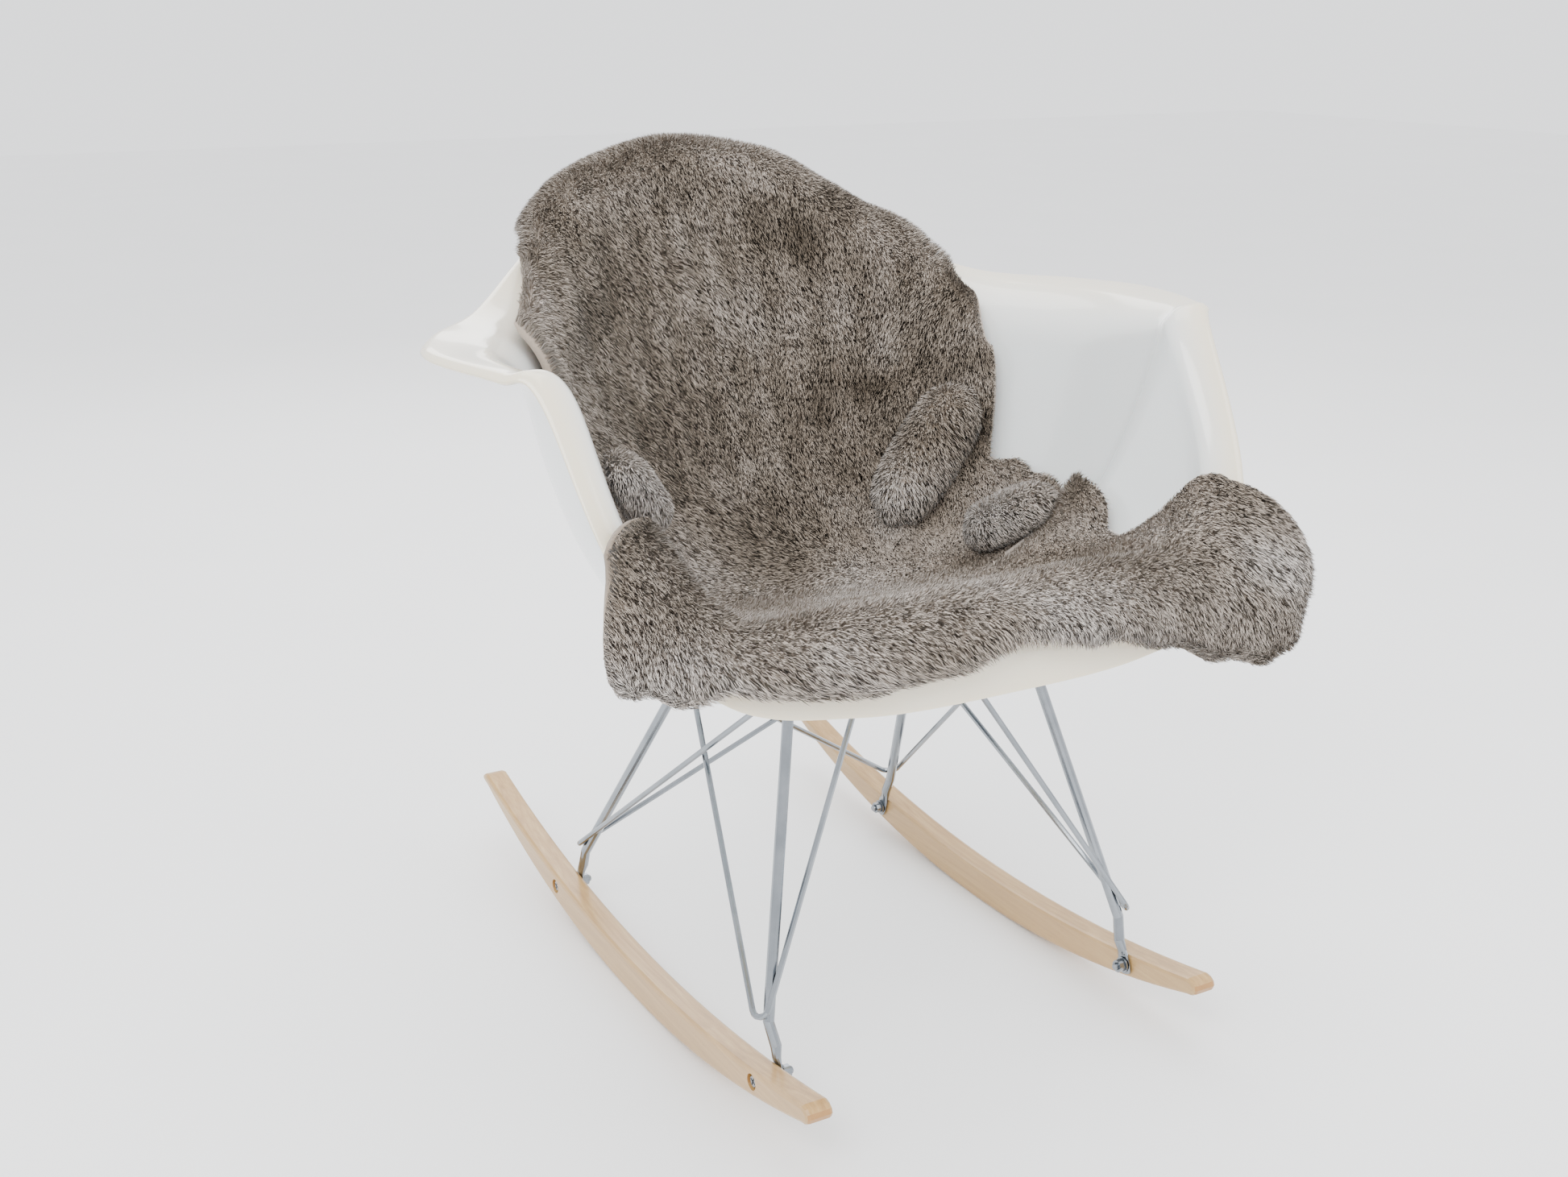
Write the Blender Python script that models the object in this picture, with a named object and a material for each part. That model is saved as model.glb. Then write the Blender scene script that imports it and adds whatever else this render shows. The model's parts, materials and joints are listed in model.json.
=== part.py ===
"""Rocking armchair: a moulded tub shell on a welded wire base with two wooden runners,
and a loose faux-fur throw laid over it.

Run with: blender --background --python part.py
Frame: metres, +Z up, the sitter faces -Y, the origin is on the floor under the middle of
the chair.  Every sub-part is one closed object of its own.
"""
import math

import bmesh
import bpy
import numpy as np
from mathutils import Matrix, Vector
from mathutils.bvhtree import BVHTree

# ------------------------------------------------------------------ driving dimensions
GAP = 0.0003                    # between two pieces that touch

# runners
RUNNER_TRACK = 0.356            # between the runners' centre planes
RUNNER_THICK = 0.022
RUNNER_REACH = 0.3225           # from the middle of the chair to either tip
RUNNER_CENTRE_Y = -0.021        # the floor contact, fore and aft, at rest
SOLE_RADIUS = 0.935             # the arc that rolls on the floor
TOP_RADIUS = 1.38
RUNNER_DEPTH = 0.0303           # at the contact
RUNNER_EASE = 0.003             # rounded long edges

# bolts through the runners (M6)
BOLT_Y = {"front": -0.2393, "rear": 0.1385}
BOLT_LIFT = 0.0015              # above the runner's mid depth
BOLT_R = 0.003
BOLT_CLEAR = 0.0004
HEAD_R = 0.0058
HEAD_H = 0.0036
SINK_R = 0.0066                 # counterbore
SINK_DEPTH = 0.0052
WASHER_R = 0.0068
WASHER_THICK = 0.0012
NUT_FLATS = 0.010
NUT_THICK = 0.005
BOLT_TAIL = 0.003               # thread standing out of the nut

# wire base
LEG_R = 0.0045
WIRE_R = 0.0025
RAIL_R = 0.0035
LEG_BEND = 0.016
WIRE_BEND = 0.0085
FOOT_THICK = 0.003
FOOT_HALF = 0.0075
KNEE_INSET = {"front": 0.0112, "rear": 0.0136}     # knees, in from the runners' centre planes
KNEE = {"front": (RUNNER_TRACK / 2 - KNEE_INSET["front"], -0.2257, 0.0760),
        "rear": (RUNNER_TRACK / 2 - KNEE_INSET["rear"], 0.1225, 0.0650)}
CROWN = {"front": (0.1093, -0.1553, 0.3100), "rear": (0.1160, 0.0118, 0.2652)}
RAIL_X = 0.088                  # side rails, inside the bends of the leg frames
BRACE_FRONT_X = 0.0445          # where the front braces meet the front cross bar
BRACE_STANDOFF = {"front": 0.0030, "rear": 0.0015}     # the bend stands clear of the knee
BRACE_HOLD = LEG_R + WIRE_R + GAP     # a brace's end, from the axis of the rod it is welded to
BRACE_CROSS_X = 0.095           # where the left rear brace meets the rear cross bar
SIDE_SWAY = 1.1                 # braces that cross at the side pass each other
CROSS_SWAY = 2.0                # so do the two that cross at the back
CROSS_FORWARD = 0.002

# mounting plates and rubber mounts under the seat
PLATE_THICK = 0.0025
PLATE_W = 0.030
PLATE_L = 0.046
PLATE_INSET = 0.016             # screw centre, in from the cross rod
MOUNT_R = 0.021
MOUNT_PROBES = 24               # places round a mount's edge where the shell is felt for
SCREW_R = 0.003
SCREW_HEAD_R = 0.0055
SCREW_HEAD_H = 0.0035
SCREW_BITE = 0.010              # length inside the rubber mount

# shell
SHELL_THICK = 0.005
PAN_CENTRE_Y = -0.030
SEAT_OVER_ROD = 0.0230          # from the rods' axes up to the middle of the shell's wall
RIM = [(0.000, -0.286, 0.330), (0.127, -0.280, 0.333), (0.226, -0.265, 0.358),
       (0.276, -0.211, 0.441), (0.296, -0.139, 0.546), (0.315, -0.110, 0.555),
       (0.332, -0.022, 0.556), (0.306, 0.050, 0.556), (0.244, 0.124, 0.560),
       (0.174, 0.192, 0.593), (0.094, 0.241, 0.644), (0.000, 0.261, 0.662)]
# at each rim point: wall slope, flare radius, flare's end slope, flat, roll radius,
# roll's end slope, squareness of the seat's corner
RIM_FORM = [(20, 0.034, -75, 0.018, 0.012, -86, 2.6), (22, 0.034, -74, 0.017, 0.012, -85, 2.7),
            (44, 0.026, -60, 0.010, 0.012, -80, 3.3), (72, 0.016, -20, 0.003, 0.012, -70, 4.2),
            (77, 0.020, 0, 0.004, 0.010, -65, 4.8), (78, 0.032, 5, 0.010, 0.008, -60, 5.0),
            (78, 0.055, 6, 0.020, 0.008, -60, 5.0), (77, 0.055, 6, 0.022, 0.008, -60, 4.8),
            (75, 0.050, 8, 0.010, 0.008, -55, 4.4), (74, 0.030, 20, 0.004, 0.008, -40, 4.0),
            (74, 0.020, 30, 0.003, 0.008, -20, 4.0), (74, 0.018, 30, 0.003, 0.008, -10, 4.0)]
SHELL_STATIONS = 56
SHELL_WALL_ROWS = 10
SHELL_FLARE_ROWS = 3
SHELL_ROLL_ROWS = 2
PAN_HOLE = 0.12                 # share of the section that the middle disc takes

# throw
HIDE_THICK = 0.0165
HIDE_GAP = 0.0064               # between the shell and the hide
# round the chair, in rim points from the middle of the front (0) over the right side to the
# middle of the back (11) and on over the left side (22 is the front again): how far the hide
# reaches past the top of the shell's wall, the slope at which it leaves the lip, and the
# radius that it then falls over with
HIDE_FORM = [(0.0, 0.066, -68, 0.034), (0.6, 0.082, -58, 0.042), (1.0, 0.100, -46, 0.050),
             (1.5, 0.130, -15, 0.052), (2.0, 0.160, 2, 0.060), (2.3, 0.173, 5, 0.066),
             (2.5, 0.150, 6, 0.066), (2.72, 0.040, 12, 0.056), (2.95, -0.080, 30, 0.040),
             (3.5, -0.115, 20, 0.030), (4.3, -0.140, 10, 0.030), (5.0, -0.145, 10, 0.030),
             (5.8, -0.120, 10, 0.030), (6.4, -0.105, 10, 0.030), (6.9, -0.110, 10, 0.030),
             (7.3, -0.010, 10, 0.030), (7.7, 0.035, 12, 0.030), (8.3, 0.060, 14, 0.032),
             (9.0, 0.090, 20, 0.032), (10.0, 0.105, 30, 0.030), (11.0, 0.110, 30, 0.028),
             (12.0, 0.100, 32, 0.030), (12.6, 0.075, 28, 0.034), (13.1, 0.058, 24, 0.034),
             (13.8, 0.058, 16, 0.034), (14.6, 0.058, 10, 0.030), (15.1, -0.020, 10, 0.030),
             (15.6, -0.120, 10, 0.030), (16.4, -0.130, 10, 0.030), (17.4, -0.130, 10, 0.030),
             (18.3, -0.110, 20, 0.030), (18.75, -0.070, 24, 0.040), (19.03, 0.085, 26, 0.056),
             (19.3, 0.150, 24, 0.064), (19.6, 0.122, 10, 0.060), (20.2, 0.084, -26, 0.052),
             (21.0, 0.088, -54, 0.048), (21.5, 0.082, -62, 0.040), (22.0, 0.066, -68, 0.034)]
HIDE_STATIONS = 60
HIDE_CROWDING = 6.0             # stations crowd where the reach changes
HIDE_ROWS = 16
HIDE_EDGE = 0.016               # the edge's rounding, along the hide
HIDE_BEND_WEIGHT = 0.035        # rows crowd into the bends: metres of hide for one radian
PAW_THICK = 0.026
PAW_GAP = 0.0016
PAW_SEARCH = 0.06               # the hide is looked for from this far above it
PAW_SECTIONS = 11
PAW_COLUMNS = 7
# each paw: where it leaves the hide, its middle and its tip, and its half width
PAWS = {"right_upper": ((0.180, 0.034, 0.474), (0.143, 0.046, 0.420), (0.100, 0.042, 0.362), 0.031),
        "right_lower": ((0.186, -0.086, 0.402), (0.170, -0.040, 0.376), (0.140, -0.022, 0.360), 0.023),
        "left": ((-0.172, 0.030, 0.452), (-0.148, 0.046, 0.415), (-0.126, 0.044, 0.382), 0.024)}


# ------------------------------------------------------------------ scene helpers
def clear_scene():
    for obj in list(bpy.data.objects):
        bpy.data.objects.remove(obj, do_unlink=True)


def material(name, colour, roughness, metallic=0.0):
    mat = bpy.data.materials.get(name)
    if mat is None:
        mat = bpy.data.materials.new(name)
        mat.use_nodes = True
        shader = mat.node_tree.nodes["Principled BSDF"]
        shader.inputs["Base Color"].default_value = (*colour, 1.0)
        shader.inputs["Roughness"].default_value = roughness
        shader.inputs["Metallic"].default_value = metallic
    return mat


def shell_white():
    return material("shell_white", (0.80, 0.79, 0.74), 0.18)


def beech():
    return material("beech", (0.60, 0.43, 0.26), 0.35)


def zinc():
    return material("zinc_steel", (0.50, 0.53, 0.56), 0.30, 1.0)


def rubber():
    return material("mount_rubber", (0.03, 0.03, 0.03), 0.85)


def fur():
    return material("grey_fur", (0.30, 0.26, 0.235), 0.95)


def add_mesh(name, points, faces, mat, origin=(0, 0, 0), sharp=35):
    origin = Vector(origin)
    mesh = bpy.data.meshes.new(name)
    mesh.from_pydata([Vector(p) - origin for p in points], [], [list(f) for f in faces])
    mesh.validate()
    mesh.update()
    bm = bmesh.new()
    bm.from_mesh(mesh)
    bmesh.ops.recalc_face_normals(bm, faces=bm.faces)
    bm.to_mesh(mesh)
    bm.free()
    mesh.shade_smooth()
    mesh.set_sharp_from_angle(angle=math.radians(sharp))
    mesh.materials.append(mat)
    obj = bpy.data.objects.new(name, mesh)
    obj.location = origin
    bpy.context.collection.objects.link(obj)
    return obj


def ring_faces(rings, count, closed_ends=True):
    """Quads between successive rings of `count` points, and a cap at each end."""
    faces = []
    for i in range(rings - 1):
        for j in range(count):
            k = (j + 1) % count
            faces.append((i * count + j, i * count + k, (i + 1) * count + k, (i + 1) * count + j))
    if closed_ends:
        faces.append(tuple(range(count))[::-1])
        faces.append(tuple((rings - 1) * count + j for j in range(count)))
    return faces


def turned(name, profile, centre, axis, mat, sides=20):
    """A lathe piece: profile is (radius, height) from bottom to top, closed on the axis."""
    rot = Vector((0, 0, 1)).rotation_difference(Vector(axis).normalized()).to_matrix()
    points = []
    for radius, height in profile:
        for j in range(sides):
            turn = 2 * math.pi * j / sides
            point = Vector((radius * math.cos(turn), radius * math.sin(turn), height))
            points.append(Vector(centre) + rot @ point)
    return add_mesh(name, points, ring_faces(len(profile), sides), mat, origin=centre)


def collar(name, outer, inner_r, height, centre, axis, mat, sides=18):
    """A ring with a straight bore; outer(angle) gives the outside radius."""
    rot = Vector((0, 0, 1)).rotation_difference(Vector(axis).normalized()).to_matrix()
    points = []
    loops = [(outer, 0.0), (outer, height), (lambda turn: inner_r, height), (lambda turn: inner_r, 0.0)]
    for radius, level in loops:
        for j in range(sides):
            turn = 2 * math.pi * j / sides
            point = Vector((radius(turn) * math.cos(turn), radius(turn) * math.sin(turn), level))
            points.append(Vector(centre) + rot @ point)
    faces = ring_faces(4, sides, closed_ends=False)
    for j in range(sides):
        k = (j + 1) % sides
        faces.append((3 * sides + j, 3 * sides + k, k, j))
    return add_mesh(name, points, faces, mat, origin=centre)


def cut(obj, cutter):
    cutter.hide_render = True
    cutter.display_type = 'WIRE'
    mod = obj.modifiers.new("cut", 'BOOLEAN')
    mod.operation = 'DIFFERENCE'
    mod.solver = 'EXACT'
    mod.object = cutter


# ------------------------------------------------------------------ bent rods
def rounded_path(corners, bend, step=math.radians(15)):
    """The corners as a path whose inner corners are arcs of radius `bend`."""
    pts = [Vector(c) for c in corners]
    path = [pts[0]]
    for before, corner, after in zip(pts, pts[1:], pts[2:]):
        to_before = (before - corner).normalized()
        to_after = (after - corner).normalized()
        half = to_before.angle(to_after) / 2
        reach = min(bend / math.tan(half), 0.45 * (before - corner).length, 0.45 * (after - corner).length)
        radius = reach * math.tan(half)
        centre = corner + (to_before + to_after).normalized() * (radius / math.sin(half))
        start = corner + to_before * reach - centre
        sweep = math.pi - 2 * half
        turns = max(2, math.ceil(sweep / step))
        axis = start.cross(corner + to_after * reach - centre).normalized()
        for i in range(turns + 1):
            path.append(centre + Matrix.Rotation(sweep * i / turns, 3, axis) @ start)
    path.append(pts[-1])
    return path


def path_frames(path, side_hint):
    """A side and an up vector at every point, carried along without twist."""
    frames = []
    side = Vector(side_hint)
    for i in range(len(path)):
        ahead = path[min(i + 1, len(path) - 1)] - path[max(i - 1, 0)]
        ahead.normalize()
        side = (side - ahead * side.dot(ahead)).normalized()
        frames.append((side.copy(), ahead.cross(side)))
    return frames


def rod(name, path, radius, mat, sides=10, side_hint=(1, 0, 0), flats=None):
    """A round rod along the path; flats gives (half along side, half along up) where it is pressed."""
    points = []
    flats = flats or {}
    for i, (side, up) in enumerate(path_frames(path, side_hint)):
        across, deep = flats.get(i, (radius, radius))
        for j in range(sides):
            turn = 2 * math.pi * (j + 0.5) / sides
            points.append(path[i] + side * across * math.cos(turn) + up * deep * math.sin(turn))
    return add_mesh(name, points, ring_faces(len(path), sides), mat, sharp=50)


# ------------------------------------------------------------------ runners
def sole(y):
    return SOLE_RADIUS - math.sqrt(SOLE_RADIUS ** 2 - (y - RUNNER_CENTRE_Y) ** 2)


def runner_top(y):
    return RUNNER_DEPTH + TOP_RADIUS - math.sqrt(TOP_RADIUS ** 2 - (y - RUNNER_CENTRE_Y) ** 2)


def bolt_height(end):
    y = BOLT_Y[end]
    return (sole(y) + runner_top(y)) / 2 + BOLT_LIFT


def runner_outline():
    """Side view: the sole arc, a round nose at each tip and the top arc."""
    nose = 0.010
    low = [(y, sole(y)) for y in np.linspace(-RUNNER_REACH + nose, RUNNER_REACH - nose, 33)]
    high = [(y, runner_top(y)) for y in np.linspace(RUNNER_REACH - nose, -RUNNER_REACH + nose, 25)]

    def round_nose(start, end, way):
        middle = ((start[0] + end[0]) / 2, (start[1] + end[1]) / 2)
        half = (end[1] - start[1]) / 2
        turns = np.radians([-60, -30, 0, 30, 60])
        return [(middle[0] + way * nose * math.cos(t), middle[1] + half * math.sin(t)) for t in turns]

    rear = round_nose(low[-1], high[0], 1)
    front = round_nose(high[-1], low[0], -1)
    return low + rear + high + front


def make_runner(side_name, side):
    outline = runner_outline()
    count = len(outline)
    centre_x = side * RUNNER_TRACK / 2
    points = [(centre_x + h, y, z) for h in (-RUNNER_THICK / 2, RUNNER_THICK / 2) for y, z in outline]
    runner = add_mesh("runner_" + side_name, points, ring_faces(2, count), beech(), origin=(centre_x, 0, 0))
    ease = runner.modifiers.new("eased_edges", 'BEVEL')
    ease.width = RUNNER_EASE
    ease.segments = 2
    ease.limit_method = 'ANGLE'
    ease.angle_limit = math.radians(60)
    for end, y in BOLT_Y.items():
        height = bolt_height(end)
        outer = centre_x + side * RUNNER_THICK / 2
        hole = turned("cutter_hole_%s_%s" % (end, side_name),
                      [(BOLT_R + BOLT_CLEAR, -0.03), (BOLT_R + BOLT_CLEAR, 0.03)],
                      (centre_x, y, height), (side, 0, 0), beech(), sides=16)
        sink = turned("cutter_sink_%s_%s" % (end, side_name),
                      [(SINK_R, -SINK_DEPTH), (SINK_R, 0.01)], (outer, y, height), (side, 0, 0), beech())
        cut(runner, hole)
        cut(runner, sink)
    return runner


# ------------------------------------------------------------------ runner fasteners
def inner_face_x():
    return RUNNER_TRACK / 2 - RUNNER_THICK / 2


def foot_x():
    """Centre plane of the pressed foot, against the runner's inner face."""
    return inner_face_x() - GAP - FOOT_THICK / 2


def make_runner_bolt(end, side_name, side):
    y, z = BOLT_Y[end], bolt_height(end)
    seat = RUNNER_TRACK / 2 + RUNNER_THICK / 2 - SINK_DEPTH + GAP
    washer_in = foot_x() - FOOT_THICK / 2 - GAP
    nut_in = washer_in - WASHER_THICK - GAP
    tail = nut_in - NUT_THICK - BOLT_TAIL
    shank = seat - tail
    profile = [(BOLT_R * 0.75, -shank), (BOLT_R, -shank + 0.0008), (BOLT_R, 0.0), (HEAD_R, 0.0),
               (HEAD_R, HEAD_H * 0.55), (HEAD_R * 0.72, HEAD_H)]
    centre = (side * seat, y, z)
    bolt = turned("runner_bolt_%s_%s" % (end, side_name), profile, centre, (side, 0, 0), zinc(), sides=16)
    for turn in (0, 90):
        slot = add_slot("cutter_recess_%s_%s_%d" % (end, side_name, turn), centre, side, turn)
        cut(bolt, slot)
    collar("washer_%s_%s" % (end, side_name), lambda turn: WASHER_R, BOLT_R + GAP, WASHER_THICK,
           (side * washer_in, y, z), (-side, 0, 0), zinc())

    def hexagon(turn):
        return NUT_FLATS / 2 / math.cos((turn + math.pi / 6) % (math.pi / 3) - math.pi / 6)

    collar("nut_%s_%s" % (end, side_name), hexagon, BOLT_R + GAP, NUT_THICK, (side * nut_in, y, z),
           (-side, 0, 0), zinc())
    return bolt


def add_slot(name, centre, side, turn):
    """One bar of the cross recess in a bolt head."""
    half, wide, depth = HEAD_R * 0.62, 0.0006, 0.0016
    rot = Matrix.Rotation(math.radians(turn + 20), 3, 'X')
    points = []
    for dx in (HEAD_H - depth, HEAD_H + 0.002):
        for dy, dz in ((-half, -wide), (half, -wide), (half, wide), (-half, wide)):
            points.append(Vector(centre) + rot @ Vector((side * dx, dy, dz)))
    return add_mesh(name, points, ring_faces(2, 4), zinc())


# ------------------------------------------------------------------ wire base
def mirrored(point, side):
    return Vector((side * point[0], point[1], point[2]))


def seat_tilt():
    """Angle of the pan about X: the front rod stands higher than the rear one."""
    front, rear = CROWN["front"], CROWN["rear"]
    return math.atan2(front[2] - rear[2], rear[1] - front[1])


def pan_normal():
    tilt = seat_tilt()
    return Vector((0, math.sin(tilt), math.cos(tilt)))


def foot_path(end, side):
    """From below the bolt up to the knee; the first points are the pressed foot."""
    y, z = BOLT_Y[end], bolt_height(end)
    knee = KNEE[end]
    top = runner_top(y)
    lean = (knee[1] - y) / (knee[2] - z)
    flat = [(foot_x(), y + lean * (level - z), level)
            for level in (z - FOOT_HALF, z - FOOT_HALF * 0.8, z, z + FOOT_HALF, top + 0.002)]
    clear = (foot_x() - 0.0012, y + lean * (top + 0.010 - z), top + 0.010)
    return [mirrored(p, side) for p in flat + [clear]]


def make_leg_frame(end):
    """One rod: pressed foot, knee, leg, cross bar under the seat, and the same down again."""
    corners = [mirrored(KNEE[end], -1), mirrored(CROWN[end], -1), mirrored(CROWN[end], 1), mirrored(KNEE[end], 1)]
    bends = rounded_path(corners, LEG_BEND)
    left, right = foot_path(end, -1), foot_path(end, 1)
    path = left + bends + right[::-1]
    flats = {}
    widths = [0.0045, 0.0066, FOOT_HALF, 0.0066, 0.0052]
    for i, wide in enumerate(widths):
        thick = FOOT_THICK / 2 if i < 4 else 0.0030
        flats[i] = (thick, wide)
        flats[len(path) - 1 - i] = (thick, wide)
    frame = rod("%s_leg_frame" % end, path, LEG_R, zinc(), sides=12, flats=flats)
    return frame


def punch_feet(frame, end):
    for side_name, side in (("left", -1), ("right", 1)):
        hole = turned("cutter_foot_%s_%s" % (end, side_name),
                      [(BOLT_R + BOLT_CLEAR, -0.006), (BOLT_R + BOLT_CLEAR, 0.006)],
                      (side * foot_x(), BOLT_Y[end], bolt_height(end)), (1, 0, 0), zinc(), sides=16)
        cut(frame, hole)


def under_rod(end, x, forward=0.0):
    """Where a brace meets the cross bar: just under it, at x."""
    crown = CROWN[end]
    return Vector((x, crown[1] - forward, crown[2] - LEG_R - WIRE_R - GAP))


def beside_crown(end, side, origin, distance, sway):
    """Where a brace meets the bend at the top of a leg: on the side it comes from."""
    crown = mirrored(CROWN[end], side)
    leg = (mirrored(KNEE[end], side) - crown).normalized()
    bar = Vector((-side, 0, 0))
    middle = crown + (leg + bar).normalized() * LEG_BEND * (1 / math.sin(leg.angle(bar) / 2) - 1)
    along = (leg - bar).normalized()
    across = origin - middle
    across = (across - along * across.dot(along)).normalized() + Vector(sway)
    across = (across - along * across.dot(along)).normalized()
    return middle + across * distance


def make_brace(name, end, side, tops):
    """A thin V-shaped wire that straddles the leg, its bend on the outside of the knee."""
    first, second = tops
    knee = mirrored(KNEE[end], side)
    to_first, to_second = (first - knee).normalized(), (second - knee).normalized()
    normal = to_first.cross(to_second).normalized()
    if normal.x * side < 0:
        normal = -normal
    opening = to_first.angle(to_second) / 2
    bisector = (to_first + to_second).normalized()
    bend = knee + normal * (LEG_R + WIRE_R + GAP + BRACE_STANDOFF[end])
    bend -= bisector * WIRE_BEND * (1 / math.sin(opening) - 1)
    path = rounded_path([first, bend, second], WIRE_BEND, step=math.radians(25))
    return rod(name, path, WIRE_R, zinc(), sides=8, side_hint=normal)


def make_braces():
    right_knee = mirrored(KNEE["rear"], 1)
    cross_tops = {"left": under_rod("rear", BRACE_CROSS_X, CROSS_FORWARD),
                  "right": beside_crown("rear", -1, right_knee, BRACE_HOLD, (0, CROSS_SWAY, 0))}
    for side_name, side in (("left", -1), ("right", 1)):
        front_knee, rear_knee = mirrored(KNEE["front"], side), mirrored(KNEE["rear"], side)
        sway = Vector((side * SIDE_SWAY, 0, 0))
        front_tops = (beside_crown("rear", side, front_knee, BRACE_HOLD, -sway),
                      under_rod("front", side * BRACE_FRONT_X))
        make_brace("front_%s_brace" % side_name, "front", side, front_tops)
        rear_tops = (beside_crown("front", side, rear_knee, BRACE_HOLD, sway), cross_tops[side_name])
        make_brace("rear_%s_brace" % side_name, "rear", side, rear_tops)


def make_side_rail(side_name, side):
    front, rear = Vector(CROWN["front"]), Vector(CROWN["rear"])
    along = Vector((0, rear.y - front.y, rear.z - front.z)).normalized()
    start = Vector((side * RAIL_X, front.y, front.z)) + along * (LEG_R + GAP)
    end = Vector((side * RAIL_X, rear.y, rear.z)) - along * (LEG_R + GAP)
    rod("side_rail_" + side_name, [start, start.lerp(end, 0.5), end], RAIL_R, zinc(), sides=10)


# ------------------------------------------------------------------ mounts
def plate_frame(end, side):
    """Centre of the screw at the rods' axes' height, and the pan's directions there."""
    tilt = seat_tilt()
    along = Vector((0, math.cos(tilt), -math.sin(tilt)))
    inward = 1 if end == "front" else -1
    crown = Vector(CROWN[end])
    centre = Vector((side * (RAIL_X - PLATE_W / 2 - RAIL_R - 0.002), crown.y, crown.z))
    return centre + along * inward * PLATE_INSET, along * inward, pan_normal()


def mesh_surface(obj):
    return BVHTree.FromPolygons([v.co for v in obj.data.vertices], [p.vertices for p in obj.data.polygons])


def underside_distance(surface, centre, up):
    """From a point below the pan up to where a mount first meets the shell."""
    across = Vector((1, 0, 0))
    along = up.cross(across)
    distances = []
    for i in range(MOUNT_PROBES):
        turn = 2 * math.pi * i / MOUNT_PROBES
        start = centre + (across * math.cos(turn) + along * math.sin(turn)) * MOUNT_R
        distances.append(surface.ray_cast(start, up)[3])
    return min(distances)


def make_mount(end, side_name, side, shell_surface):
    centre, along, up = plate_frame(end, side)
    across = Vector((1, 0, 0))
    low = LEG_R + GAP
    outline = []
    for a, b in ((-1, -PLATE_INSET - LEG_R), (1, -PLATE_INSET - LEG_R), (1, PLATE_L - PLATE_INSET - LEG_R),
                 (-1, PLATE_L - PLATE_INSET - LEG_R)):
        outline.append(across * a * PLATE_W / 2 + along * b)
    points = [centre + p + up * h for h in (low, low + PLATE_THICK) for p in outline]
    plate = add_mesh("mount_plate_%s_%s" % (end, side_name), points, ring_faces(2, 4), zinc())
    corners = plate.modifiers.new("round_corners", 'BEVEL')
    corners.width = 0.0008
    corners.segments = 1
    hole = turned("cutter_plate_%s_%s" % (end, side_name), [(SCREW_R + BOLT_CLEAR, -0.01), (SCREW_R + BOLT_CLEAR, 0.02)],
                  centre, up, zinc(), sides=16)
    cut(plate, hole)

    base = low + PLATE_THICK + GAP
    reach = underside_distance(shell_surface, centre, up)
    height = reach - base - GAP
    puck_profile = [(MOUNT_R * 0.94, 0.0), (MOUNT_R, 0.0012), (MOUNT_R, height - 0.0012), (MOUNT_R * 0.96, height)]
    foot = centre + up * base
    puck = turned("shock_mount_%s_%s" % (end, side_name), puck_profile, foot, up, rubber(), sides=20)
    bore = turned("cutter_mount_%s_%s" % (end, side_name),
                  [(SCREW_R + GAP, -0.002), (SCREW_R + GAP, SCREW_BITE + 0.0005)], foot, up, rubber(), sides=16)
    cut(puck, bore)

    head = low - GAP
    screw_base = centre + up * head
    length = base + SCREW_BITE - head
    profile = [(SCREW_HEAD_R * 0.7, -SCREW_HEAD_H), (SCREW_HEAD_R, -SCREW_HEAD_H * 0.5), (SCREW_HEAD_R, 0.0),
               (SCREW_R, 0.0), (SCREW_R, length - 0.001), (SCREW_R * 0.7, length)]
    turned("mount_screw_%s_%s" % (end, side_name), profile, screw_base, up, zinc(), sides=12)


# ------------------------------------------------------------------ shell form
def smooth_through(values, s):
    """Catmull-Rom value at s in [0, 1]; the ends are mirror planes of the chair."""
    values = np.asarray(values, float)
    last = len(values) - 1
    place = min(max(s, 0.0), 1.0) * last
    i = min(int(place), last - 1)
    t = place - i
    before = values[i - 1] if i > 0 else values[1]
    after = values[i + 2] if i + 2 <= last else values[last - 1]
    a, b = values[i], values[i + 1]
    return 0.5 * (2 * a + (b - before) * t + (2 * before - 5 * a + 4 * b - after) * t * t
                  + (3 * a - before - 3 * b + after) * t ** 3)


def rim_point(s):
    """Half rim, s from the middle of the front edge (0) to the middle of the back (1)."""
    rim = np.array(RIM)
    last = len(rim) - 1
    place = min(max(s, 0.0), 1.0) * last
    i = min(int(place), last - 1)
    t = place - i
    flip = np.array((-1, 1, 1))
    before = rim[i - 1] if i > 0 else rim[1] * flip
    after = rim[i + 2] if i + 2 <= last else rim[last - 1] * flip
    a, b = rim[i], rim[i + 1]
    return 0.5 * (2 * a + (b - before) * t + (2 * before - 5 * a + 4 * b - after) * t * t
                  + (3 * a - before - 3 * b + after) * t ** 3)


def pan_height(y):
    """Middle of the shell's wall on the flat of the seat."""
    rear = CROWN["rear"]
    tilt = seat_tilt()
    return rear[2] + SEAT_OVER_ROD / math.cos(tilt) + (rear[1] - y) * math.tan(tilt)


def arc_steps(start, radius, slope_from, slope_to, count):
    """Points along an outward-turning arc, in (out, up), after its start."""
    steps = []
    for i in range(1, count + 1):
        slope = slope_from + (slope_to - slope_from) * i / count
        steps.append((start[0] + radius * (math.sin(slope_from) - math.sin(slope)),
                      start[1] + radius * (math.cos(slope) - math.cos(slope_from))))
    return steps


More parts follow.
